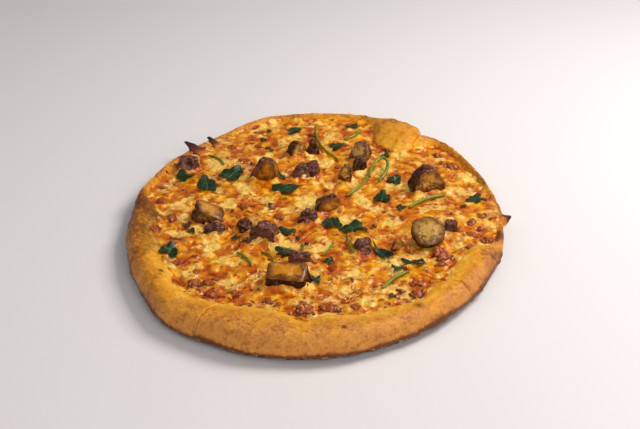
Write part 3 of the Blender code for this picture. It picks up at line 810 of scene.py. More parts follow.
@dataclass
class Relief:
    """The cheese seen from above: its height and the masks of its colours, on a fine square grid.

    Rows of three are places with a breadth. The maps lobe and lid hold the value nothing where
    there is no blister and no topping.
    """

    plan: Plan
    noise: Noise
    pitch: float = 0.4
    low: Place = (-142.0, -176.0)
    size: tuple[int, int] = (712, 884)
    blisters: tuple[Spot, ...] = (
        (-113, -30, 7), (-91, -72, 8), (-80, -84, 6), (-79, -97, 11), (-70, -95, 8), (-68, -109, 8),
        (-52, -108, 7), (-44, -122, 5), (-31, -115, 7), (-25, -121, 6), (-8, -126, 13), (8, -124, 12),
        (23, -122, 5), (63, -107, 9), (63, -94, 8), (53, -102, 7), (83, -59, 13), (81, -70, 7),
        (117, -40, 11), (106, -30, 7), (104, -49, 8), (113, -21, 6), (116, -3, 7), (108, -13, 7),
        (-60, 81, 7), (-33, 7, 8), (-28, -8, 7), (-54, 7, 8), (-114, 13, 7), (-116, 34, 6),
        (-49, 108, 7), (-51, 135, 6), (122, 22, 6), (103, 76, 12), (92, 96, 7), (-5, 131, 8),
        (-70, 104, 7), (14, 73, 6), (-104, -12, 7), (-20, 113, 6),
    )
    creams: tuple[Spot, ...] = (
        (23, -85, 11), (17, -103, 9), (57, -110, 12), (7, -137, 7), (90, -79, 10), (121, -18, 9),
        (95, -43, 12), (-80, 73, 14), (-117, 32, 7), (-56, 35, 16), (-8, 19, 16), (-37, 151, 12),
        (-48, 144, 10), (63, 97, 13), (95, 89, 9), (115, 55, 15), (105, 37, 12), (-96, -13, 9),
        (21, -8, 9), (87, -12, 12),
    )
    hot_places: tuple[Spot, ...] = (
        (22, -104, 30), (-74, -98, 26), (-100, -50, 22), (104, -30, 22), (92, 80, 22), (-40, -110, 24),
        (64, -100, 20), (-104, 10, 18), (-50, 120, 24), (-58, 2, 18),
    )
    span_x: Place = (-134, 132)
    span_y: Place = (-146, 168)
    shreds: int = 1500
    shred_seed: int = 11
    pits: int = 900
    pit_seed: int = 23
    blister_seed: int = 5
    warp: float = 1.8
    bank_rise: float = 3.6
    nothing: float = -9.0

    def __post_init__(self) -> None:
        """Lays the shreds, lumps, pits and blisters, then works out the colours."""
        xs = self.low[0] + self.pitch * np.arange(self.size[0])
        ys = self.low[1] + self.pitch * np.arange(self.size[1])
        self.x, self.y = np.meshgrid(xs, ys, indexing="ij")
        heading, radius = self.plan.polar(self.x, self.y)
        self.inside = self.plan.cheese_edge(heading) - radius
        self.warp_x = self.x + self.warp * self.rough(7)
        self.warp_y = self.y + self.warp * self.rough(7, 90, -40)
        self.height, self.tone, self.blister, self.pit = (np.zeros(self.x.shape) for _ in range(4))
        self.lobe = np.full(self.x.shape, self.nothing)
        self.lay_shreds()
        self.lay_lumps()
        self.lay_pits()
        self.lay_blisters()
        self.shade()

    def rough(self, size: float, dx: float = 0, dy: float = 0, octaves: int = 3) -> Array:
        """Rough noise over the grid, shifted so that no two fields are alike."""
        return self.noise.rough(size, self.x + dx, self.y + dy, octaves=octaves)

    def cells(self, x: Array, y: Array) -> tuple[Array, Array]:
        """Plan places counted in cells of the grid."""
        return (x - self.low[0]) / self.pitch, (y - self.low[1]) / self.pitch

    def scattered(self, rng: np.random.Generator) -> Place:
        """A random place on the cheese or near it."""
        return rng.uniform(*self.span_x), rng.uniform(*self.span_y)

    def window(self, x: float, y: float, reach: float) -> tuple[slice, slice]:
        """The part of the grid within reach of a place.

        Args:
            x: place along X.
            y: place along Y.
            reach: distance in millimetres.

        Returns:
            Slices of the maps.
        """
        count = reach / self.pitch
        return tuple(
            slice(*(int(np.clip(end, 0, size)) for end in (middle - count, middle + count + 1)))
            for middle, size in zip(self.cells(x, y), self.size)
        )

    def seen(self, part: tuple[slice, slice], x: float, y: float, turn: float) -> tuple[Array, Array]:
        """Warped places of a window, seen from a place and turned."""
        return turned(self.warp_x[part] - x, self.warp_y[part] - y, -turn)

    def softened(self, values: Array, radius: float) -> Array:
        """A Gaussian blur, as the product with exp(-2 (pi r f)^2) of the whole grid's spectrum.

        Args:
            values: a map.
            radius: the blur's r in millimetres.

        Returns:
            The blurred map.
        """
        fx = np.fft.fftfreq(self.size[0], self.pitch)[:, None]
        fy = np.fft.rfftfreq(self.size[1], self.pitch)[None, :]
        spread = np.exp(-2 * (np.pi * radius) ** 2 * (fx**2 + fy**2))
        return np.fft.irfft2(np.fft.rfft2(values) * spread, s=self.size)

    def lay_shreds(self) -> None:
        """Melted shreds laid over each other: bowed bars with a rounded top, the later ones higher."""
        rng = np.random.default_rng(self.shred_seed)
        for _ in range(self.shreds):
            x, y = self.scattered(rng)
            length, width, turn = rng.uniform(4, 13), rng.uniform(1.2, 2.6), rng.uniform(0, np.pi)
            bow, level, tone = rng.normal(0, 0.03), rng.uniform(0.35, 1.25), rng.normal(0, 1)
            part = self.window(x, y, 0.5 * length + 4)
            u, v = self.seen(part, x, y, turn)
            across = np.clip(1 - ((v - bow * u * u) / width) ** 2, 0, 1)
            along = np.clip(1 - (2 * u / length) ** 4, 0, 1)
            rise = level * np.sqrt(across * along)
            higher = rise > self.height[part]
            self.height[part] = np.where(higher, rise, self.height[part])
            self.tone[part] = np.where(higher & (rise > 0.2), tone, self.tone[part])

    def lay_lumps(self) -> None:
        """Domes of melted cheese on scattered seeds of two sizes, and slow swells of the whole."""
        near, lot = self.noise.cells(7.5, self.warp_x, self.warp_y)
        fine, fine_lot = self.noise.cells(3.6, self.warp_x + 50, self.warp_y)
        domes = dome(near / (0.4 + 0.25 * lot)) * (0.5 + lot)
        grains = dome(fine / (0.4 + 0.2 * fine_lot)) * (0.3 + fine_lot)
        self.height = 0.4 * self.height + 1.3 * domes + 0.6 * grains
        self.tone = 0.35 * self.tone + 1.8 * (lot - 0.5) + 0.9 * (fine_lot - 0.5)
        self.tone = self.softened(self.tone, 0.5)
        self.height = self.softened(self.height, 0.85)
        self.swell = 1.2 * self.rough(30, octaves=2)
        self.height = self.height + self.swell

    def lay_pits(self) -> None:
        """Small burst bubbles: a hollow with a raised ring."""
        rng = np.random.default_rng(self.pit_seed)
        for _ in range(self.pits):
            (x, y), radius = self.scattered(rng), rng.uniform(0.6, 1.5)
            part = self.window(x, y, 3 * radius + 1)
            away = np.hypot(self.x[part] - x, self.y[part] - y) / radius
            hollow = np.exp(-(away**2))
            self.height[part] += 0.35 * np.exp(-((away - 1.3) ** 2) / 0.2) - 0.6 * hollow
            self.pit[part] = np.maximum(self.pit[part], hollow)

    def lay_blisters(self) -> None:
        """Browned bubbles: flattened domes whose outline and top are wrinkled."""
        wrinkle = self.rough(3.2)
        near, _ = self.noise.cells(3.0, self.x + 0.8 * wrinkle, self.y)
        pebbles = dome(near / 0.7)
        rng = np.random.default_rng(self.blister_seed)
        for x, y, breadth in self.blisters:
            half, turn, squeeze = 0.58 * breadth, rng.uniform(0, np.pi), rng.uniform(0.7, 1.0)
            part = self.window(x, y, breadth + 3)
            u, v = self.seen(part, x, y, turn)
            away = np.hypot(u, v / squeeze) / half + 0.34 * wrinkle[part]
            share = dome(away)
            rise = (0.18 * breadth + 1.6 * pebbles[part] + 0.6 * wrinkle[part]) * share
            raised = np.maximum(self.height[part], self.swell[part] + 0.3 + rise)
            self.height[part] = np.where(share > 0, raised, self.height[part])
            self.blister[part] = np.maximum(self.blister[part], share)
            self.lobe[part] = np.maximum(self.lobe[part], (1 - away) * half)

    def patch(self, places: Sequence[Spot], warp: float) -> Array:
        """Soft round patches with noisy outlines, 1 in their middles.

        Args:
            places: places and breadths.
            warp: how noisy the outlines are.

        Returns:
            The map of all of them.
        """
        total = np.zeros(self.x.shape)
        uneven = self.rough(9)
        for x, y, breadth in places:
            part = self.window(x, y, 1.6 * breadth)
            away = np.hypot(self.x[part] - x, self.y[part] - y) / (0.6 * breadth)
            total[part] = np.maximum(total[part], 1 - step(away + warp * uneven[part], 0.2, 1.4))
        return total

    def shade(self) -> None:
        """Works out ridge, browned, cream and oil from the height, the shreds' own tones and the heat."""
        local = self.height - self.softened(self.height, 2.4)
        local[self.blister > 0] = 0.2
        broad = self.rough(15, octaves=2)
        middle = self.noise.rough(6.5, self.warp_x + 31, self.warp_y, octaves=2)
        self.ridge = np.clip(0.47 + 0.3 * local + 0.09 * self.tone + 0.32 * broad + 0.16 * middle, 0, 1)
        creams = self.patch(self.creams, 0.7)
        heat = 0.5 + 0.55 * self.rough(20, 200) - 0.6 * creams + 0.3 * self.patch(self.hot_places, 0.3)
        heat = np.clip(heat + 0.2 * (1 - step(self.inside, 2, 18)), 0, 1)
        tops = step(local + 0.35 * self.rough(3.5, 0, 90, octaves=2), 0.0, 0.55)
        crumbs, lot = self.noise.cells(5.2, self.warp_x, self.warp_y + 70)
        spots = (1 - step(crumbs, 0.12, 0.5)) * step(lot, 0.45, 0.75)
        seams = 1 - step(np.abs(self.noise.at(6.5, self.warp_x - 60, self.warp_y)), 0.0, 0.3)
        rings = step(self.blister, 0, 0.4) * (1 - step(self.blister, 0.4, 0.8))
        scorched = 0.6 * tops + 0.95 * spots + 0.3 * self.pit + 0.3 * rings
        self.browned = np.clip(heat * (scorched + 0.2 * seams * (0.6 + 0.4 * middle)), 0, 1)
        pale = step(self.rough(18, -130, 20) + 0.2 * middle, 0.0, 0.42)
        self.cream = np.clip(creams * (0.8 + 0.4 * middle + 0.3 * local) + 0.95 * pale * (1.2 - heat), 0, 1)
        pools = step(self.rough(19, 0, 300), 0.12, 0.6)
        self.oil = np.clip(pools * (1.1 - self.ridge) - self.cream, 0, 1)

    def bank(self, surfaces: Sequence[Array], base: float) -> None:
        """Lets the cheese climb the sides of what stands in it, and run over its edge here and there.

        The pieces' points are laid on the grid, the highest in each square, and gaps between them are
        closed by the highest neighbour. The cheese rises with the blurred share of covered squares.

        Args:
            surfaces: points of each piece in plan millimetres, (rows, around, 3).
            base: height that the cheese's relief starts from.
        """
        self.lid = np.full(self.x.shape, self.nothing)
        for fine in surfaces:
            for axis in (0, 1):
                between = 0.5 * (fine + np.roll(fine, -1, axis=axis))
                fine = np.concatenate((fine, between[: len(fine) - 1 + axis]))
            index = tuple(np.rint(at).astype(int) for at in self.cells(fine[..., 0], fine[..., 1]))
            np.maximum.at(self.lid, index, fine[..., 2])
        for axis, shift in ((0, 1), (1, 1), (0, -1), (1, -1)):
            self.lid = np.maximum(self.lid, np.roll(self.lid, shift, axis))
        covered = self.lid > base + 2.0
        share = np.clip(self.softened(covered.astype(float), 1.6), 0, 1)
        rise = self.bank_rise * np.clip(0.6 + 0.8 * self.rough(11, 60, -20, octaves=2), 0.1, 1.5)
        raised = self.height + rise * np.clip(2 * share, 0, 1) ** 1.5
        under = np.maximum(self.lid - base - 1.2, -1.0)
        self.height = np.where(covered, np.minimum(raised, under), raised)

    def sample(self, values: Array, x: Array, y: Array) -> Array:
        """Values of the grid at plan places, straight between its points.

        Args:
            values: a map.
            x: plan places along X.
            y: plan places along Y.

        Returns:
            One value for each place.
        """
        i, j = (np.clip(at, 0, size - 1.001) for at, size in zip(self.cells(x, y), self.size))
        i0, j0 = i.astype(int), j.astype(int)
        si, sj = i - i0, j - j0
        near = values[i0, j0] * (1 - sj) + values[i0, j0 + 1] * sj
        far = values[i0 + 1, j0] * (1 - sj) + values[i0 + 1, j0 + 1] * sj
        return near * (1 - si) + far * si


class Form(Enum):
    """Overall form of a mushroom piece: a wedge-like block, an arch on its edge, or a round slice."""

    BLOCK = "block"
    ARCH = "arch"
    ROUND = "round"


class Cut(Enum):
    """Which way the cut face of a mushroom piece looks. The rest of it is skin."""

    NONE = (0.0, 0.0, 0.0)
    TOP = (0.1, -0.35, 1.0)
    FRONT = (0.1, -0.9, 0.55)
    LOW = (0.6, -0.8, -0.1)
    FACE = (0.15, -0.98, 0.1)
    SLICE = (0.0, -0.77, 0.64)
    RIGHT = (0.8, -0.5, 0.4)


@dataclass(frozen=True)
class Chunk:
    """A cut piece of mushroom: a rounded block with a sloped top, sunk a little in the cheese."""

    number: int
    x: float
    y: float
    size: Spot
    turn: float
    slope: Place = (0.0, 0.0)
    roundness: float = 5
    lean: float = 0
    cut: Cut = Cut.NONE
    dry: float = 0.2
    pale: float = 0.3
    form: Form = Form.BLOCK
    cut_range: Place = (0.3, 0.75)
    sink: float = 2.4
    grid: tuple[int, int] = (60, 96)

    def planes(self) -> tuple[Array, Array]:
        """The planes that bound the piece: their directions and distances.

        A block has four leaning sides, three cut corners and a sloped top. An arch has flat sides and
        planes that touch half an ellipse standing on the base, and a round slice those of a whole one:
        at the angle a they lie sqrt((w cos a)^2 + (h sin a)^2) from the ellipse's middle.
        """
        rng = random.Random(self.number)
        width, depth, height = (0.5 * side for side in self.size)
        if self.form is Form.BLOCK:
            sides = [
                (90 * k + rng.uniform(-16, 16), (width, depth)[k % 2] * rng.uniform(0.88, 1))
                for k in range(4)
            ]
            corners = [
                (90 * k + 45 + rng.uniform(-14, 14), 0.72 * (width + depth) * rng.uniform(0.82, 1.0))
                for k in rng.sample(range(4), 3)
            ]
            directions, reaches = [(self.slope[0], self.slope[1], 1), (0, 0, -1)], [height, height]
            for heading, reach in sides + corners:
                angle = np.radians(heading)
                directions.append((np.cos(angle), np.sin(angle), rng.uniform(0.05, 0.45)))
                reaches.append(reach)
            return np.array(directions, float), np.array(reaches)
        whole = self.form is Form.ROUND
        middle, tall = (0.0, height) if whole else (-height, 2 * height)
        angles = np.radians(np.arange(0, 360 if whole else 181, 30) + rng.uniform(-8, 8))
        reach = np.hypot(width * np.cos(angles), tall * np.sin(angles)) + middle * np.sin(angles)
        reach = reach * np.array([rng.uniform(0.93, 1.03) for _ in angles])
        round_edge = np.stack((np.cos(angles), 0 * angles, np.sin(angles)), axis=-1)
        faces = [(0.05, -1, self.slope[1]), (-0.08, 1, 0.15)] + ([] if whole else [(0, 0, -1)])
        face_reaches = [depth, depth] + ([] if whole else [height])
        return np.concatenate((faces, round_edge)), np.concatenate((face_reaches, reach))

    def surface(self, plan: Plan, noise: Noise) -> tuple[Array, Array, dict[str, Array]]:
        """The piece as directions on a ball, each times its reach inside the planes.

        The reach is the sum over the planes of (cosine / distance)^(2k), to the power -1/(2k), with k
        the roundness. The wrinkles move each point along its direction.

        Args:
            plan: gives the piece's place.
            noise: gives the wrinkles.

        Returns:
            Rings and end points in plan millimetres, and the layers of its finish.
        """
        rows, around = self.grid
        up = np.linspace(-np.pi / 2, np.pi / 2, rows + 2)[1:-1, None]
        turn = round_angles(around)[None, :]
        flat = np.cos(up)
        way = np.stack((flat * np.cos(turn), flat * np.sin(turn), np.sin(up) + 0 * turn), axis=-1)
        ends = np.array(((0, 0, -1.0), (0, 0, 1.0)))
        normals, reaches = self.planes()
        tilt = np.array(
            Matrix.Rotation(np.radians(self.turn), 3, "Z") @ Matrix.Rotation(-np.radians(self.lean), 3, "X")
        )

        def shaped(directions: Array) -> tuple[Array, Array, Array]:
            """Points on the block, the outward way there, and how near the next face is, 0 to 1."""
            share = np.maximum(0, directions @ normals.T / reaches)
            reach = (share ** (2 * self.roundness)).sum(axis=-1) ** (-0.5 / self.roundness)
            near = share * reach[..., None]
            outward = unit(near ** (2 * self.roundness - 1) @ (normals / reaches[:, None]))
            edge = np.sort(near, axis=-1)[..., -2]
            return directions * reach[..., None] @ tilt.T, outward @ tilt.T, edge

        points, outward, edge = shaped(way)
        tips = shaped(ends)[0]
        facing = outward @ (np.array(self.cut.value) / max(np.linalg.norm(self.cut.value), 1))
        cut = step(facing, *self.cut_range)
        place = points + np.array((self.x, self.y, 0))
        wrinkle = noise.rough(3.6, *np.moveaxis(place, -1, 0), octaves=2)
        dents = np.abs(noise.rough(8.0, *np.moveaxis(place + 40, -1, 0), octaves=2))
        swell = noise.at(11.0, *np.moveaxis(place - 70, -1, 0))
        thin = min(1.0, min(self.size) / 9)
        ridged = np.abs(noise.rough(4.2, *np.moveaxis(place - 20, -1, 0), octaves=2))
        shift = (0.3 * wrinkle * (1 - 0.55 * cut) - 2.0 * dents * (1 - 0.8 * cut) + 0.9 * swell) * thin
        shift = shift + self.dry * (1 - cut) * (0.35 - 1.5 * ridged) * thin
        points = points + unit(points) * shift[..., None]
        rest = min(points[..., 2].min(), tips[:, 2].min()) + 0.08 * self.size[2]
        for part in (points, tips):
            part[..., 2] = np.maximum(part[..., 2] - rest, -self.sink) + plan.topping_base
            part[..., :2] += (self.x, self.y)
        layers = {
            "cut": cut,
            "dry": np.clip(self.dry + 0.3 * wrinkle, 0, 1),
            "fold": np.clip(2.2 * ridged, 0, 1),
            "edge": edge,
            "pale": np.clip(self.pale + 0.3 * dents, 0, 1),
            "height": np.clip((points[..., 2] - plan.topping_base) / self.size[2], 0, 1),
        }
        return points, tips, layers


@dataclass
class Mushrooms:
    """All the mushroom pieces, in the order of their nodes."""

    plan: Plan
    noise: Noise
    finish: MushroomFinish = MushroomFinish()
    chunks: tuple[Chunk, ...] = (
        Chunk(1, -20, -95, (28, 18, 11), -6, (0.1, -0.3), 6, 0, Cut.TOP, 0.0, 0.25, cut_range=(0.48, 0.8)),
        Chunk(2, -12, -71, (15, 12, 9), 15, (-0.1, 0.1), 5, 0, Cut.NONE, 0.85),
        Chunk(3, -78, -12, (23, 15, 9.5), 18, (0.45, -0.3), 5, 0, Cut.TOP, 0.1, 0.35),
        Chunk(4, -71, -30, (14, 10, 6), -10, (0.1, 0.0), 4, 0, Cut.NONE, 0.5),
        Chunk(5, -51, -27, (11, 12, 7), 20, (0.0, -0.2), 4, 0, Cut.NONE, 0.25),
        Chunk(6, -36, -37, (17, 15, 11), -25, (0.15, 0.1), 6, 0, Cut.NONE, 0.9),
        Chunk(7, -49, -47, (7, 7, 5), 0, (0.0, 0.0), 4, 0, Cut.NONE, 0.6),
        Chunk(8, -101, 68, (18, 13, 9), 12, (0.0, -0.15), 4, 0, Cut.NONE, 0.6),
        Chunk(9, -40, 53, (17, 15, 17), -12, (0.2, 0.25), 5, 0, Cut.LOW, 0.7, 0.25),
        Chunk(10, -10, 58, (22, 12, 9), 5, (-0.3, -0.2), 5, 0, Cut.NONE, 0.7),
        Chunk(11, -19, 92, (15, 9, 14), 35, (0.3, 0.0), 6, 0, Cut.RIGHT, 0.1, 0.6, Form.ARCH),
        Chunk(12, -6, 97, (9, 8, 14), 10, (0.1, 0.0), 2.5, 0, Cut.NONE, 0.3),
        Chunk(13, 32, 88, (15, 13, 15), -20, (0.1, 0.2), 5, 0, Cut.FRONT, 0.5, 1.0),
        Chunk(14, 31, 70, (11, 9, 10), 15, (0.1, -0.2), 4, 0, Cut.NONE, 0.1),
        Chunk(15, 20, 52, (9, 6, 15), -15, (0.2, 0.0), 6, 0, Cut.FRONT, 0.1, 0.8, Form.ARCH),
        Chunk(16, 79, 39, (27, 15, 19.5), 19, (0.0, 0.15), 7, 0, Cut.FACE, 0.0, 0.5, Form.ARCH),
        Chunk(17, 73.5, -45, (25, 12, 21), -6, (0.0, 0.0), 7, 40, Cut.SLICE, 0.0, 0.6, Form.ROUND),
        Chunk(18, 92, -24, (10, 9, 8), 0, (0.0, 0.0), 4, 0, Cut.NONE, 0.6),
        Chunk(19, 5.5, 5, (18, 13, 11), 22, (-0.2, 0.1), 4, 0, Cut.RIGHT, 0.4, 0.15),
        Chunk(20, -7, -12, (12, 11, 9), -15, (0.1, 0.0), 4, 0, Cut.NONE, 0.55),
        Chunk(21, 30, -53, (12, 13, 9), 12, (0.1, 0.1), 5, 0, Cut.NONE, 0.9),
        Chunk(22, 54, -48, (8, 8, 5), 0, (0.0, 0.0), 4, 0, Cut.TOP, 0.1, 0.0),
    )

    def __post_init__(self) -> None:
        """Works out every piece, so that the cheese can be laid round them."""
        self.surfaces = [chunk.surface(self.plan, self.noise) for chunk in self.chunks]

    def build(self) -> list[Object]:
        """Makes each piece, dresses it and puts it in its node's place."""
        material, pieces = self.finish.material(), []
        for chunk, (points, tips, layers) in zip(self.chunks, self.surfaces):
            rings, ends = self.plan.world(points), self.plan.world(tips)
            piece = loft(f"mushroom_piece_{chunk.number:02d}", rings, layers, ends)
            pieces.append(placed(piece, material, "mushroom", f"mushroom_{chunk.number:02d}"))
        return pieces


def placed(piece: Object, material: Material, slot: str, *nodes: str) -> Object:
    """Dresses a piece and puts it on the pizza's body, for the nodes that it stands for.

    Args:
        piece: the mesh object.
        material: its finish.
        slot: the piece's slot name; not used.
        nodes: the solids that it replaces.

    Returns:
        The piece.
    """
    piece.data.materials.append(material)
    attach(piece, "root")
    if nodes:
        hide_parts(*nodes)
    log.info("%s: %d faces", piece.name, len(piece.data.polygons))
    return piece


@dataclass
class Crust:
    """The dough: its rim, the big bubble, the knife cuts across the rim and the browned underside."""

    plan: Plan
    noise: Noise
    finish: CrustFinish = CrustFinish()
    around: int = 960
    rim_inside: tuple[Place, ...] = ((0.84, 0.45), (0.62, 0.86), (0.36, 1.0))
    rim_outside: tuple[Place, ...] = ((0.65, 0.93), (0.33, 0.74), (0.08, 0.4))
    rim_rounding: float = 9.0
    underside: tuple[Place, ...] = ((0.9, 4.7), (3.6, 2.3), (8.5, 0.7), (15.0, 0.0))
    steps: tuple[int, ...] = (4, 4, 5, 6, 6, 8, 8, 9, 12, 12, 8)
    groove: Place = (0.5, 3.0)
    # Darker bands round the rim (heading, spread, height): the one on the left at 190 is painted shade of
    # the side away from the key light; the one at 338 darkens the right front.
    shaded_and_browned_sides: tuple[Spot, ...] = ((190, 42, 0.45), (338, 36, 0.25))
    marks: tuple[tuple[float, float, float, float], ...] = (
        (15.8, -153.0, 2.0, 1.1), (60.8, -126.5, 4.5, 0.5), (67.2, -115.9, 1.6, 0.7),
        (-100.8, -90.9, 1.6, 0.7), (-53.2, -148.7, 1.5, 0.7), (34.0, -149.0, 6.0, 0.25),
    )

    def headings(self) -> Array:
        """Headings round the crust, closer together where a knife cut or the notch crosses it.

        They are where the running total of a density, 1 plus a swelling at each crossing, passes
        equal shares.
        """
        fine = np.arange(0, 360, 0.01)
        density = np.ones(fine.shape)
        for (x0, y0), (x1, y1) in self.plan.cuts:
            for x, y in ((x0, y0), (x1, y1)):
                heading, _ = self.plan.polar(np.array(x), np.array(y))
                density += 5 * bump(fine, float(heading), 1.2)
        density += 1.5 * bump(fine, self.plan.notch_heading, 4)
        total = np.cumsum(density)
        return np.interp(np.arange(self.around) / self.around * total[-1], total, fine)

    def controls(self, heading: Array) -> Array:
        """The rim's section at each heading, from the base over the rim to the recess: (points, n, 2).

        Args:
            heading: headings in degrees.

        Returns:
            Radii and heights of the section's points.
        """
        plan = self.plan
        edge, inner = plan.outline(heading), plan.cheese_edge(heading) + plan.gap
        top = plan.rim_top(heading)
        across = np.abs(np.radians(heading - plan.notch_heading)) * edge
        edge = edge - soft_max(plan.notch_depth - across, 0 * edge, 1.0) * (across < 3 * plan.notch_depth)
        width = edge - inner
        rounding = np.minimum(self.rim_rounding, 0.45 * width)
        section = [(edge - inset, 0 * edge + height) for inset, height in reversed(self.underside)]
        section += [(edge, 0 * edge + plan.belly)]
        section += [
            (edge - share * rounding, plan.belly + rise * (top - plan.belly))
            for share, rise in reversed(self.rim_outside)
        ]
        section += [
            (edge - share * width, plan.wall_top + rise * (top - plan.wall_top))
            for share, rise in reversed(self.rim_inside)
        ]
        section += [(inner, 0 * edge + plan.wall_top)]
        return np.stack([np.stack(point, axis=-1) for point in section])

    def section(self, heading: Array) -> Array:
        """A smooth line through the controls, by Catmull-Rom pieces, as (rows, n, 2).

        Args:
            heading: headings in degrees.

        Returns:
            Radii and heights.
        """
        points = self.controls(heading)
        padded = np.concatenate((2 * points[:1] - points[1:2], points, 2 * points[-1:] - points[-2:-1]))
        rows = []
        for k, steps in enumerate(self.steps):
            t = (np.arange(steps) / steps)[:, None, None]
            before, start, end, after = padded[k : k + 4]
            rows.append(
                0.5
                * (
                    2 * start
                    + (end - before) * t
                    + (2 * before - 5 * start + 4 * end - after) * t**2
                    + (3 * start - before - 3 * end + after) * t**3
                )
            )
        return np.concatenate((*rows, points[-1:]))

    def build(self) -> Object:
        """Turns the section round, adds relief and grooves, and works out where it is browned and where
        shade is painted on it.
        """
        plan, heading = self.plan, self.headings()
        rim = self.section(heading)
        inset = np.array((0.35, 0.75))[:, None]
        base = np.stack((rim[0, :, 0] * inset, 0 * rim[0, :, 0] * inset), axis=-1)
        inner = rim[-1, :, 0]
        floor = np.stack([np.stack((inner * s, 0 * inner + plan.floor), axis=-1) for s in (1, 0.5)])
        rows = np.concatenate((base, rim, floor))
        radius, z = rows[..., 0], np.maximum(rows[..., 1], 0)
        x, y = plan.flat(heading[None, :] + 0 * radius, radius)
        grid = np.stack((x, y, z), axis=-1)
        normal = surface_normals(grid)
        free = step(z, 0.4, 4.0) * (radius > inner - 0.1)
        free[len(base) + len(rim) :] = 0
        lumps = 0.5 * self.noise.rough(13, x, y, z, octaves=2) + 0.3 * self.noise.rough(4.5, x, y, z)
        near, lot = self.noise.cells(7.0, x + 0.4 * z, y)
        pimples = 0.5 * np.clip(1 - (near / (0.18 + 0.2 * lot)) ** 2, 0, 1) * (lot > 0.55)
        grid = grid + normal * (free * (lumps + pimples))[..., None]
        ridge = self.bubble_ridges(x, y)
        grid[..., 2] += free * ridge
        for cut in range(len(plan.cuts)):
            away, share = plan.cut_distance(cut, grid[..., 0], grid[..., 1])
            width, depth = self.groove
            fall = depth * np.exp(-((away / width) ** 2)) * (share > -0.05) * (share < 1.05)
            top = np.maximum(normal[..., 2], 0) * free
            grid[..., 2] = np.maximum(grid[..., 2] - fall * top, np.minimum(grid[..., 2], plan.cut_bed))
        grid[..., 2] = np.maximum(grid[..., 2], 0)
        layers = self.layers(heading, radius, grid, lumps)
        ends = plan.world(np.array([(*plan.pole, height) for height in (0.0, plan.floor)]))
        piece = loft("baked_crust", plan.world(grid), layers, ends)
        return placed(piece, self.finish.material(), "crust", "dough_crust")

    def bubble_ridges(self, x: Array, y: Array) -> Array:
        """Soft folds on the right side of the big bubble: a sine across it, faded by its share."""
        heading, radius = self.plan.polar(x, y)
        share = self.plan.bubble(heading) * step(radius, 108, 122)
        return 0.28 * share * np.sin((heading - 63) * 1.3 + 0.05 * radius)

    def layers(self, heading: Array, radius: Array, grid: Array, lumps: Array) -> dict[str, Array]:
        """Masks of browning, butter, char and flour, from the place on the rim. Browning and char both
        carry painted shade: on the left side, down the outer wall and in the gap under the edge.

        Args:
            heading: heading of each column.
            radius: radius of each point before the relief.
            grid: the finished points.
            lumps: the relief.

        Returns:
            A value for each point of the grid under each mask's name.
        """
        plan = self.plan
        x, y, z = np.moveaxis(grid, -1, 0)
        edge, inner = plan.outline(heading), plan.cheese_edge(heading)
        outer = step(radius, edge - 9, edge - 1)
        low = 1 - step(z, 2.5, 10.5)
        broad = self.noise.rough(24, x, y, z, octaves=2)
        out = np.maximum(radius - inner, 0)
        ledge, bubble = plan.ledge_share(heading), plan.bubble(heading)
        # Browning, with painted shade: the outer wall darkens towards its foot.
        toast_and_shade = 0.26 + 1.3 * outer * (1 - step(z, 2, 12)) + 0.34 * broad + 0.15 * lumps
        # The side bands add painted shade on the left side.
        toast_and_shade = toast_and_shade + 0.1 * (1 - ledge) * (1 - low) + swells(heading, self.shaded_and_browned_sides)
        toast_and_shade = toast_and_shade + 0.45 * bump(heading, 313, 26) * outer * (1 - step(z, 6, 17))
        toast_and_shade = toast_and_shade - 0.25 * bump(heading, 262, 45) * (1 - low)
        for mark_x, mark_y, reach, strength in self.marks:
            toast_and_shade = toast_and_shade + strength * np.exp(-(((x - mark_x) ** 2 + (y - mark_y) ** 2) / reach**2))
        film = np.exp(-out / 6.0) + 0.75 * ledge * np.exp(-((out / 15.0) ** 2)) + 0.3 * bubble
        for cut in range(len(plan.cuts)):
            away, _ = plan.cut_distance(cut, x, y)
            film = film + 0.7 * np.exp(-((away / 2.2) ** 2)) * np.exp(-out / 12.0)
        # Char at the underside and the foot of the wall, also painted shade of the gap under the edge.
        under = step(edge - radius, -0.5, 3.0) * (z < plan.belly - 2.5)
        char_and_shade = 1.2 * under * step(z, 0.2, 1.5) + 0.8 * outer * (1 - step(z, 1.0, 5.5))
        masks = {
            "toast_and_shade": toast_and_shade, "butter": film * (1 - outer), "char_and_shade": char_and_shade,
            "flour": outer * step(z, 0.6, 1.6) * (1 - step(z, 3.5, 8.0)),
            "rosy": ledge * (0.5 * outer + 0.5 * step(out, 8, 22)) - 0.3 * bump(heading, 215, 22),
        }
        return {name: np.clip(values, 0, 1.5) for name, values in masks.items()}


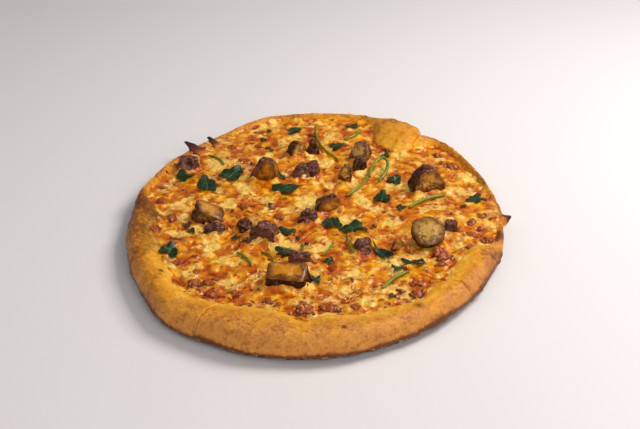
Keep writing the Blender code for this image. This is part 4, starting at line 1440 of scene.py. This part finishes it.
@dataclass
class Cheese:
    """The melted cheese in four sheets, one on each slice, which meet along the knife cuts."""

    plan: Plan
    relief: Relief
    noise: Noise
    finish: CheeseFinish = CheeseFinish()
    cells: int = 290
    spill: float = 6.0
    creep: float = 1.0
    ledge_creep: float = 2.2
    lip: float = 0.9
    parted_to: Place = (0.4, 0.2)
    gape: float = 0.55
    base: float = 11.6

    def top(self, x: Array, y: Array) -> Array:
        """Height of the cheese: its relief, climbing onto the rim, and diving under it past its edge.

        Args:
            x: plan places along X.
            y: plan places along Y.

        Returns:
            Heights in millimetres.
        """
        heading, radius = self.plan.polar(x, y)
        rim = self.plan.rim_surface(heading, radius)
        ledge = self.plan.ledge_share(heading)
        ragged = self.creep + self.ledge_creep * ledge + (1.3 + 0.7 * ledge) * self.noise.rough(7, x, y)
        inside = self.plan.cheese_edge(heading) + ragged - radius
        inside = np.maximum(inside, self.relief.sample(self.relief.lobe, x, y))
        lump = self.relief.sample(self.relief.height, x, y)
        film = self.lip * np.sqrt(np.clip(inside / 1.5, 0, 1))
        film = film + 0.5 * np.minimum(lump, 1.5) * step(inside, 0, 3)
        climbing = np.maximum(self.base + lump, rim + film * (inside > 0))
        ceiling = np.maximum(rim, self.plan.wall_top - 0.4) + film + 4 * step(inside, 1.5, 7)
        height = np.minimum(climbing, ceiling)
        return np.where(inside > 0, height, rim + np.maximum(0.8 * inside, -2.0))

    def calm(self, x: Array, y: Array, reach: float = 1.3) -> Array:
        """Height of the cheese or of what stands in it, as the mean of nine places a reach apart."""
        total = np.zeros(np.shape(x))
        for i, j in itertools.product((-reach, 0, reach), repeat=2):
            total += np.maximum(self.top(x + i, y + j), self.relief.sample(self.relief.lid, x + i, y + j))
        return total / 9

    def opening(self, cut: int, share: Array) -> Array:
        """How far the cheese has parted along a cut, 0 to 1: most near the front ends of the cuts.

        Args:
            cut: number of the cut.
            share: share of the way along it.

        Returns:
            A share for each place.
        """
        reach = self.parted_to[cut]
        torn = 0.5 + 0.5 * self.noise.at(0.05, share, 0 * share + 7.3 * cut)
        front = (1 - step(share, reach - 0.1, reach + 0.1)) * (0.5 + 0.5 * torn)
        return front + 0.25 * torn * (share > 0.9)

    def corners(self) -> tuple[Array, list[float]]:
        """Where the cuts cross and the headings of the four half-lines from there."""
        (a0, a1), (b0, b1) = (np.array(cut, float) for cut in self.plan.cuts)
        run_a, run_b = a1 - a0, b1 - b0
        share = np.linalg.solve(np.stack((run_a, -run_b), axis=1), b0 - a0)[0]
        headings = [np.degrees(np.arctan2(run[1], run[0])) % 360 for run in (run_a, run_b, -run_a, -run_b)]
        return a0 + share * run_a, headings

    def sheet(self, number: int, centre: Array, start: float, end: float) -> Object:
        """One slice's cheese: a square grid bent to the slice, with walls and a flat underside.

        A grid point (a, b) lies at the larger of a and b of the way out from the crossing. Its angle
        runs from the one cut, where b is 0, to the other, where a is 0.

        Args:
            number: number of the slice.
            centre: plan place where the cuts cross.
            start: heading of the first cut.
            end: heading of the second cut.

        Returns:
            The sheet.
        """
        n = self.cells
        a, b = np.meshgrid(np.linspace(0, 1, n + 1), np.linspace(0, 1, n + 1), indexing="ij")
        out = np.maximum(a, b)
        share = np.where(a >= b, 0.5 * b / np.maximum(a, 1e-9), 1 - 0.5 * a / np.maximum(b, 1e-9))
        angle = np.radians(start + share * ((end - start) % 360))
        reach = np.full(a.shape, 140.0)
        for _ in range(30):
            x, y = centre[0] + reach * np.cos(angle), centre[1] + reach * np.sin(angle)
            heading, radius = self.plan.polar(x, y)
            edge = self.plan.cheese_edge(heading)
            spill = np.minimum(self.spill, 0.5 * (self.plan.outline(heading) - edge))
            reach = reach + 0.8 * (edge + spill - radius)
        x, y = centre[0] + out * reach * np.cos(angle), centre[1] + out * reach * np.sin(angle)
        x, y, lift = self.parted(x, y, start, end)
        z = np.maximum(self.top(x, y) + lift, self.plan.floor + 0.6)
        top = np.stack((x, y, z), axis=-1).reshape(-1, 3)
        index = np.arange((n + 1) ** 2).reshape(n + 1, n + 1)
        quads = np.stack((index[:-1, :-1], index[1:, :-1], index[1:, 1:], index[:-1, 1:]), axis=-1)
        quads = quads.reshape(-1, 4)
        loop = np.concatenate((index[:-1, 0], index[-1, :-1], index[:0:-1, -1], index[0, :0:-1]))
        bottom = top[loop].copy()
        bottom[:, 2] = self.plan.floor + self.plan.gap
        middle = bottom.mean(axis=0, keepdims=True)
        low = len(top) + np.arange(len(loop))
        walls = np.stack((loop, low, np.roll(low, -1), np.roll(loop, -1)), axis=-1)
        fan = np.stack((np.full(len(loop), len(top) + len(loop)), np.roll(low, -1), low), axis=-1)
        points = np.concatenate((top, bottom, middle))
        layers = {
            name: self.relief.sample(getattr(self.relief, name), points[:, 0], points[:, 1])
            for name in ("ridge", "browned", "cream", "oil", "blister")
        }
        faces = np.concatenate((quads, walls))
        return add_mesh(f"cheese_slice_{number}", self.plan.world(points), faces, fan, layers)

    def parted(self, x: Array, y: Array, start: float, end: float) -> tuple[Array, Array, Array]:
        """Moves the sheet back from its cuts where they gape, and lifts a lip along them.

        Args:
            x: plan places along X.
            y: plan places along Y.
            start: heading of the first cut.
            end: heading of the second cut.

        Returns:
            The moved places, and how far they are lifted.
        """
        lift = np.zeros(x.shape)
        centre, headings = self.corners()
        for side, heading in enumerate((start, end)):
            cut = min(range(4), key=lambda k: abs(signed(headings[k] - heading))) % 2
            away, share = self.plan.cut_distance(cut, x, y)
            angle = np.radians(heading)
            inward = np.array((-np.sin(angle), np.cos(angle))) * (1 if side == 0 else -1)
            forward = (x - centre[0]) * np.cos(angle) + (y - centre[1]) * np.sin(angle) > 0
            gape = self.opening(cut, share) * forward
            near = np.exp(-np.abs(away) / 1.2)
            x, y = (at + self.gape * gape * near * way for at, way in zip((x, y), inward))
            lift = lift + gape * (0.5 * np.exp(-np.abs(away) / 1.6) - 0.8 * np.exp(-np.abs(away) / 0.35))
        return x, y, lift

    def build(self) -> list[Object]:
        """Makes the four sheets."""
        material, sheets = self.finish.material(), []
        centre, headings = self.corners()
        for number, (start, end) in enumerate(zip(headings, headings[1:] + headings[:1]), 1):
            sheet = self.sheet(number, centre, start, end)
            sheets.append(placed(sheet, material, "cheese", "cheese_layer"))
        return sheets


@dataclass(frozen=True)
class Leaf:
    """One wavy leaf, folded along its midrib."""

    number: int
    x: float
    y: float
    length: float
    breadth: float
    heading: float
    fold: float


@dataclass
class Leaves:
    """Herb leaves that lie on the cheese, in the order of their nodes."""

    plan: Plan
    cheese: Cheese
    finish: LeafFinish = LeafFinish()
    thickness: float = 0.5
    rest_gap: float = 0.8
    grid: tuple[int, int] = (26, 72)
    flake_grid: tuple[int, int] = (8, 18)
    flake_fold: float = 0.3
    first_flake: int = 40
    flakes: tuple[tuple[float, ...], ...] = (
        (-57, -38, 8, 4, 30), (-14, -38, 5, 3, 80), (-42, 136, 5, 4, 10), (-46, 121, 6, 5, 120),
        (47, -111, 8, 5, 100), (-52, 74, 5, 3, 40), (-42, 106, 5, 4, 0), (-38, 99, 4, 3, 60),
        (53, 102, 6, 4, 150), (-28, 52, 7, 5, 80), (104, 10, 5, 3, 20), (-92, -22, 6, 5, 60),
        (-36, 8, 3, 2, 10), (-8, -44, 4, 3, 70), (39, -20, 4, 3, 130),
    )
    leaves: tuple[tuple[float, ...], ...] = (
        (-100, -59, 15, 13, 80, 0.5), (-22, -30, 12, 10, 20, 0.4), (-22, -58, 16, 9, 10, 0.9),
        (-1, -92, 10, 5, 75, 0.6), (9, -17, 16, 13, 100, 0.5), (25, -22, 18, 14, 200, 0.4),
        (7, -69, 9, 6, 60, 0.5), (43, -57, 20, 9, 125, 0.9), (64, -69, 16, 8, 170, 0.5),
        (52, -76, 8, 6, 30, 0.4), (-102, 52, 15, 12, 10, 0.4), (-84, 38, 21, 14, 100, 0.6),
        (-67, 55, 23, 17, 60, 0.5), (-25, 33, 20, 16, 50, 0.5), (-22, 137, 12, 10, 20, 0.4),
        (27, 148, 12, 9, 70, 0.4), (13, 109, 12, 10, 40, 0.4), (57, 51, 14, 10, 60, 0.5),
        (46, 22, 18, 12, 80, 0.5), (52, 94, 10, 6, 80, 0.5), (59, 6, 8, 6, 20, 0.4),
        (114, 22, 18, 11, 70, 0.6), (-88, -31, 8, 5, 80, 0.5),
    )

    def shape(self, leaf: Leaf, grid: tuple[int, int]) -> tuple[Array, dict[str, Array]]:
        """A leaf as closed rings round its middle, from below over its edge to its upper face.

        The radius at the angle a is an ellipse's, times 1 + 0.2 cos 3a + 0.1 cos 5a + 0.05 cos 11a
        with the leaf's own phases, pinched at the stalk. The height is the cheese's below it, a fold
        along the midrib and ruffles that grow towards the edge.

        Args:
            leaf: its place and sizes.
            grid: rings, and points in each.

        Returns:
            Points in millimetres, and the lengthwise and sideways layers.
        """
        rows, around = grid
        rng = np.random.default_rng(leaf.number)
        turn = round_angles(around)[None, :]
        slant = (np.linspace(0.04, 0.96, rows) * np.pi)[:, None]
        out, over = np.sin(slant), np.cos(slant)
        first, second, third = rng.uniform(-0.5, 0.5), *rng.uniform(0, TURN, 2)
        pinch = rng.uniform(0.15, 0.4)
        edge = 1 + rng.uniform(0.1, 0.24) * np.cos(3 * turn + first) + 0.1 * np.cos(5 * turn + second)
        edge = edge + 0.05 * np.cos(11 * turn + third) - pinch * np.exp(-(((turn - np.pi) / 0.45) ** 2))
        u = 0.5 * leaf.length * edge * out * np.cos(turn)
        v = 0.5 * leaf.breadth * edge * out * np.sin(turn)
        ruffle = 0.75 * out**2 * np.sin(3 * turn + second) + 0.4 * out**3 * np.sin(7 * turn + third)
        fold = leaf.fold * (0.45 * np.abs(v) - 0.02 * v**2 + 0.03 * u**2 * np.sign(second - 3))
        x, y = turned(u, v, np.radians(leaf.heading))
        x, y = leaf.x + x, leaf.y + y
        height = ruffle + fold
        height = height - height.mean() + 0.5 * leaf.fold
        z = self.cheese.calm(x, y) + self.rest_gap + np.maximum(height, -0.4) - 0.5 * self.thickness * over
        return np.stack((x, y, z), axis=-1), {"along": 0.5 + u / leaf.length, "side": 2 * v / leaf.breadth}

    def build(self) -> list[Object]:
        """Makes each leaf in its node's place."""
        material, pieces = self.finish.material(), []
        for number, values in enumerate(self.leaves, 1):
            points, layers = self.shape(Leaf(number, *values), self.grid)
            piece = loft(f"herb_leaf_{number:02d}", self.plan.world(points), layers)
            pieces.append(placed(piece, material, "leaf", f"leaf_{number:02d}"))
        bits = [
            self.shape(Leaf(number, *values, self.flake_fold), self.flake_grid)
            for number, values in enumerate(self.flakes, self.first_flake)
        ]
        rings = self.plan.world(np.stack([points for points, _ in bits]))
        layers = {name: np.stack([layers[name] for _, layers in bits]) for name in ("along", "side")}
        return [*pieces, placed(loft("herb_flakes", rings, layers), material, "leaf")]


@dataclass
class Stems:
    """Thin green stalks that lie on the toppings, and one that curls up in a loop."""

    plan: Plan
    cheese: Cheese
    finish: StemFinish = StemFinish()
    grid: tuple[int, int] = (40, 14)
    stems: tuple[tuple[Place, Place, float, float, float], ...] = (
        ((-38, -57), (-30, -70), 2, 1.5, 1.6),
        ((-54, -59), (-44, -76), 1, 1.0, 1.8),
        ((10, -42), (2, -60), 2, 1.5, 1.4),
        ((59, -81), (41, -101), -2, 1.5, 2.2),
        ((-2.3, 152), (14, 86), -7.5, 2.0, 1.8),
        ((33, 141), (20, 122), 3, 1.5, 2.2),
        ((36, 60), (20, 26), 4, 3.0, 2.0),
        ((92, 28), (65, 6), -2, 2.5, 2.4),
        ((-87, 88), (-74, 72), 2, 1.0, 1.6),
        ((-11.5, -45), (-11, -58), 1, 1.0, 1.5),
        ((19.8, -31), (23, -60), -1, 2.5, 1.5),
    )
    loop_middle: Place = (45, 62)
    loop_radii: Place = (6, 16)
    loop_turn: float = 14
    loop_sweep: Place = (-60, 215)
    loop_thickness: float = 2.4
    loop_rise: float = 5.0

    def tube(self, name: str, route: Array, thickness: float) -> Object:
        """A round stalk carried along a route of points, (rows, 3), slightly thinner at its ends.

        Each ring lies square to the route: its sideways way is the route's way crossed with up.
        """
        rows, around = len(route), self.grid[1]
        ahead = unit(np.gradient(route, axis=0))
        side = unit(np.cross(ahead, np.array((0, 0, 1.0))))
        up = np.cross(side, ahead)
        turn = round_angles(around)
        share = np.linspace(0, 1, rows)
        radius = 0.5 * thickness * (1 - 0.25 * np.abs(2 * share - 1) ** 6)
        radius = radius[:, None] * (1 + 0.06 * np.cos(5 * turn) + 0.05 * np.sin(9 * share)[:, None])
        circle = side[:, None] * np.cos(turn)[:, None] + up[:, None] * np.sin(turn)[:, None]
        points = route[:, None] + radius[..., None] * circle
        return loft(name, self.plan.world(points), {"round": np.broadcast_to(turn / TURN, (rows, around))})

    def route(self, start: Place, end: Place, bow: float, arch: float, thickness: float) -> Array:
        """Points from start to end: sideways 4b s(1 - s), upwards 4h s(1 - s) over the cheese below.

        Args:
            start: plan place.
            end: plan place.
            bow: b in millimetres.
            arch: twice h in millimetres.
            thickness: the stalk's, which lifts its middle.

        Returns:
            The route's points in millimetres.
        """
        share = np.linspace(0, 1, self.grid[0])
        first, run = np.array(start, float), np.array(end, float) - np.array(start, float)
        side = np.array((-run[1], run[0])) / np.hypot(*run)
        x, y = (first[k] + share * run[k] + 4 * bow * share * (1 - share) * side[k] for k in (0, 1))
        ground = self.cheese.calm(x, y, 2.0)
        line = np.linspace(ground[0], ground[-1], len(share))
        z = np.maximum(0.6 * ground + 0.4 * line, ground - 0.3) + 0.4 * thickness
        z = z + 2.0 * arch * share * (1 - share)
        return np.stack((x, y, z), axis=-1)

    def loop_route(self) -> Array:
        """Points of an ellipse turned in plan, rising and falling as a half sine."""
        share = np.linspace(0, 1, 2 * self.grid[0])
        angle = np.radians(self.loop_sweep[0] + share * (self.loop_sweep[1] - self.loop_sweep[0]))
        wide, tall = self.loop_radii
        x, y = turned(wide * np.cos(angle), tall * np.sin(angle), np.radians(-self.loop_turn))
        z = self.plan.topping_base + self.loop_thickness / 2 + self.loop_rise * np.sin(np.pi * share)
        return np.stack((self.loop_middle[0] + x, self.loop_middle[1] + y, z), axis=-1)

    def build(self) -> list[Object]:
        """Makes each stalk in its node's place."""
        material, pieces = self.finish.material(), []
        for number, (start, end, bow, arch, thickness) in enumerate(self.stems, 1):
            route = self.route(start, end, bow, arch, thickness)
            piece = self.tube(f"herb_stem_{number:02d}", route, thickness)
            pieces.append(placed(piece, material, "stem", f"stem_{number:02d}"))
        loop = self.tube("herb_stem_loop", self.loop_route(), self.loop_thickness)
        return [*pieces, placed(loop, material, "stem", "stem_loop")]


@dataclass(frozen=True)
class ShredFinish:
    """Pale strings of cheese, toasted golden here and there."""

    pale: Colour = tint(252, 214, 134)
    golden: Colour = tint(232, 144, 24)

    def material(self) -> Material:
        """Two colours by noise."""
        graph = Graph("pale_cheese")
        fine = graph.noise(3.0, 2)
        colour = graph.mix(fine.step(0.44, 0.62), self.pale, self.golden)
        return graph.finish(
            fine, 0.2, Base_Color=colour, Roughness=0.22, Subsurface_Weight=0.1, Subsurface_Scale=0.001,
            Specular_IOR_Level=0.35,
        )


@dataclass
class Shreds:
    """Wavy strings of pale cheese that lie half sunk in the rest, all in one piece."""

    plan: Plan
    cheese: Cheese
    finish: ShredFinish = ShredFinish()
    seed: int = 17
    edge_room: float = 7.0
    grid: tuple[int, int] = (9, 5)
    bundles: tuple[tuple[float, float, float, float, float, float, int], ...] = (
        (-38, -84, 12, 1.4, 54, 0.5, 30), (21, -8, 3, 1.5, 35, 0.5, 12), (86, -12, 5, 2, -50, 0.4, 10),
        (22, -98, 18, 11, 0, 1.5, 70), (-10, -116, 22, 5, 10, 1.2, 26), (60, -62, 16, 12, 60, 1.2, 24),
        (0, 10, 62, 72, 0, 2.0, 90), (-60, 66, 16, 10, 20, 1.0, 14), (104, 52, 9, 9, 0, 1.5, 14),
    )

    def build(self) -> Object:
        """Carries a ring along each string, whose heading wavers as a sine along it."""
        rng, starts = np.random.default_rng(self.seed), []
        for x, y, along, across, heading, waver, count in self.bundles:
            turn, u, v = np.radians(heading), rng.normal(0, along, count), rng.normal(0, across, count)
            u, v = turned(u, v, turn)
            starts.append(np.stack((x + u, y + v, turn + rng.normal(0, waver, count))))
        x, y, way = (part[:, None] for part in np.concatenate(starts, axis=1))
        heading, radius = self.plan.polar(x, y)
        kept = (self.plan.cheese_edge(heading) - radius > self.edge_room)[:, 0]
        x, y, way = x[kept], y[kept], way[kept]
        count, rows = len(x), self.grid[0]
        ranges = (3.5, 9), (-1.2, 1.2), (0, TURN)
        length, bend, phase = (rng.uniform(low, high, (count, 1)) for low, high in ranges)
        share = np.linspace(-0.5, 0.5, rows)[None, :]
        way = way + bend * share + 0.7 * np.sin(10 * share + phase)
        x = x + np.cumsum(np.cos(way), axis=1) * length / rows
        y = y + np.cumsum(np.sin(way), axis=1) * length / rows
        thick = rng.uniform(0.25, 0.55, (count, 1)) * (1 - 0.6 * np.abs(2 * share) ** 3)
        clear = (self.cheese.relief.sample(self.cheese.relief.lid, x, y) < -5).all(axis=1)
        x, y, way, thick = (part[clear] for part in (x, y, way, thick))
        z = self.cheese.calm(x, y, 0.5)
        x, y, z, way, thick = (part[..., None] for part in (x, y, z, way, thick))
        turn = round_angles(self.grid[1])
        out, up = thick * np.cos(turn), thick * np.sin(turn)
        rings = self.plan.world(np.stack((x + out * np.sin(way), y - out * np.cos(way), z + up), axis=-1))
        return placed(loft("cheese_strings", rings, {}), self.finish.material(), "cheese")


@dataclass
class BurntTips:
    """Tongues of cheese that ran out over the rim and burnt."""

    plan: Plan
    noise: Noise
    finish: BurntFinish = BurntFinish()
    tips: tuple[tuple[float, float, float, float, float, float, float], ...] = (
        (134.6, 126.0, 151.5, 12.8, 14.0, 15.0, 0.4), (127.0, 130.0, 148.5, 12.8, 13.4, 9.0, 0.38),
        (357.2, 124.0, 138.0, 9.4, 12.0, 46.0, 0.46),
    )
    thickness: float = 2.6
    broad: float = 20.0
    grid: tuple[int, int] = (36, 40)

    def build(self) -> list[Object]:
        """Each tongue as ellipses carried from its root to its tip, narrowing, with a ruffled edge."""
        material, pieces = self.finish.material(), []
        for number, (heading, root, reach, foot, height, breadth, taper) in enumerate(self.tips, 1):
            share = np.linspace(0, 1, self.grid[0])[:, None]
            turn = round_angles(self.grid[1])[None, :]
            across = breadth * (0.5 - taper * share**1.3) * np.cos(turn)
            frayed = self.noise.at(0.3, share + number, np.sign(np.cos(turn)) + 0 * share)
            across = across * (1 + 0.4 * frayed)
            radius = root + share * (reach - root) - 2.0 * (across / breadth) ** 2 * 4 * share
            up = foot + (height - foot) * share**1.4 + 9 * (taper - 0.25) * share**4
            up = up + 0.5 * self.thickness * (1 - 0.6 * share) * np.sin(turn)
            up = up + 5 * (across / breadth) ** 2 * share
            x, y = self.plan.flat(np.array(heading), radius)
            angle = np.radians(heading)
            x, y = x - across * np.sin(angle), y + across * np.cos(angle)
            up = up + 0.5 * self.noise.rough(5, x, y)
            burn = np.clip(share + 0.35 * np.abs(np.cos(turn)) ** 6 + 0.1, 0, 1.2)
            if breadth > self.broad:
                burn = np.clip(1.2 * step(np.cos(turn), 0.3, 0.9) * share**0.5 + share**4, 0.1, 0.7)
            rings = self.plan.world(np.stack((x, y, up), axis=-1))[:, ::-1]
            piece = loft(f"burnt_tongue_{number}", rings, {"burn": burn[:, ::-1]})
            pieces.append(placed(piece, material, "cheese", "cheese_layer"))
        return pieces


@dataclass
class Studio:
    """Floor, soft lights and the camera, which looks down on the pizza from the front."""

    camera_place: Spot = (-0.0006, -0.7039, 0.3966)
    camera_pitch: float = 28.8
    camera_roll: float = 0.8
    lens: float = 62.89
    sensor: float = 36.0
    floor_size: float = 6.0
    floor_colour: Colour = tint(240, 234, 233)
    floor_shade: Colour = tint(205, 200, 200)
    lamps: tuple[tuple[str, Spot, float, float, Colour], ...] = (
        ("key", (0.6, 0.22, 0.76), 0.45, 8.0, (1.0, 0.97, 0.93)),
        ("fill", (-0.9, -0.4, 1.0), 1.2, 2.0, (0.95, 0.98, 1.0)),
        ("front", (0.5, -1.3, 0.8), 0.9, 8.5, (1.0, 0.98, 0.95)),
    )
    sky_colour: Colour = (0.93, 0.95, 1.0)
    sky_strength: float = 0.22

    def build(self) -> None:
        """Puts up all of it."""
        self.floor()
        self.lights()
        self.camera()

    def floor(self) -> None:
        """A pale, faintly uneven sheet under the pizza."""
        graph = Graph("pale_floor")
        colour = graph.mix(graph.noise(300, 2) * 0.08, self.floor_colour, self.floor_shade)
        material = graph.finish(None, 0, Base_Color=colour, Roughness=0.6)
        half = 0.5 * self.floor_size / MM
        corners = np.array(((-half, -half, 0), (half, -half, 0), (half, half, 0), (-half, half, 0))) * MM
        floor = add_mesh("studio_floor", corners, np.array(((0, 1, 2, 3),)), np.zeros((0, 3), int), {})
        floor.data.materials.append(material)

    def lights(self) -> None:
        """A key light at the right, a faint fill from the left, one from the front, and a pale sky."""
        for name, place, size, power, colour in self.lamps:
            light = bpy.data.lights.new(name, "AREA")
            light.shape, light.size = "SQUARE", size
            light.energy, light.color = power, colour
            lamp = bpy.data.objects.new(name, light)
            lamp.location = place
            lamp.rotation_euler = (-Vector(place)).to_track_quat("-Z", "Y").to_euler()
            bpy.context.scene.collection.objects.link(lamp)
        world = bpy.data.worlds.new("sky")
        world.use_nodes = True
        background = world.node_tree.nodes["Background"]
        background.inputs["Color"].default_value = (*self.sky_colour, 1.0)
        background.inputs["Strength"].default_value = self.sky_strength
        bpy.context.scene.world = world

    def camera(self) -> None:
        """The camera: pitched down, rolled a little, with its axes as the columns of its matrix."""
        pitch, roll = np.radians(self.camera_pitch), np.radians(self.camera_roll)
        ahead = np.array((0, np.cos(pitch), -np.sin(pitch)))
        right = np.array((1.0, 0, 0))
        up = np.cross(right, ahead)
        side = np.cos(roll) * right + np.sin(roll) * up
        top = np.cos(roll) * up - np.sin(roll) * right
        pose = np.eye(4)
        pose[:3] = np.stack((side, top, -ahead, self.camera_place), axis=1)
        data = bpy.data.cameras.new("camera")
        data.lens, data.sensor_width, data.clip_start = self.lens, self.sensor, 0.01
        camera = bpy.data.objects.new("camera", data)
        camera.matrix_world = Matrix(pose.tolist())
        bpy.context.scene.collection.objects.link(camera)
        bpy.context.scene.camera = camera


def main() -> None:
    """Builds the pizza from the crust up, then the studio round it."""
    logging.basicConfig(level=logging.INFO, format="%(message)s")
    plan, noise = Plan(), Noise(3)
    mushrooms = Mushrooms(plan, noise)
    relief = Relief(plan, noise)
    Crust(plan, noise).build()
    cheese = Cheese(plan, relief, noise)
    relief.bank([points for points, _, _ in mushrooms.surfaces], cheese.base)
    cheese.build()
    mushrooms.build()
    Leaves(plan, cheese).build()
    Stems(plan, cheese).build()
    Shreds(plan, cheese).build()
    BurntTips(plan, noise).build()
    Studio().build()
    bpy.context.scene.view_settings.view_transform = "Standard"


if __name__ == "__main__":
    main()
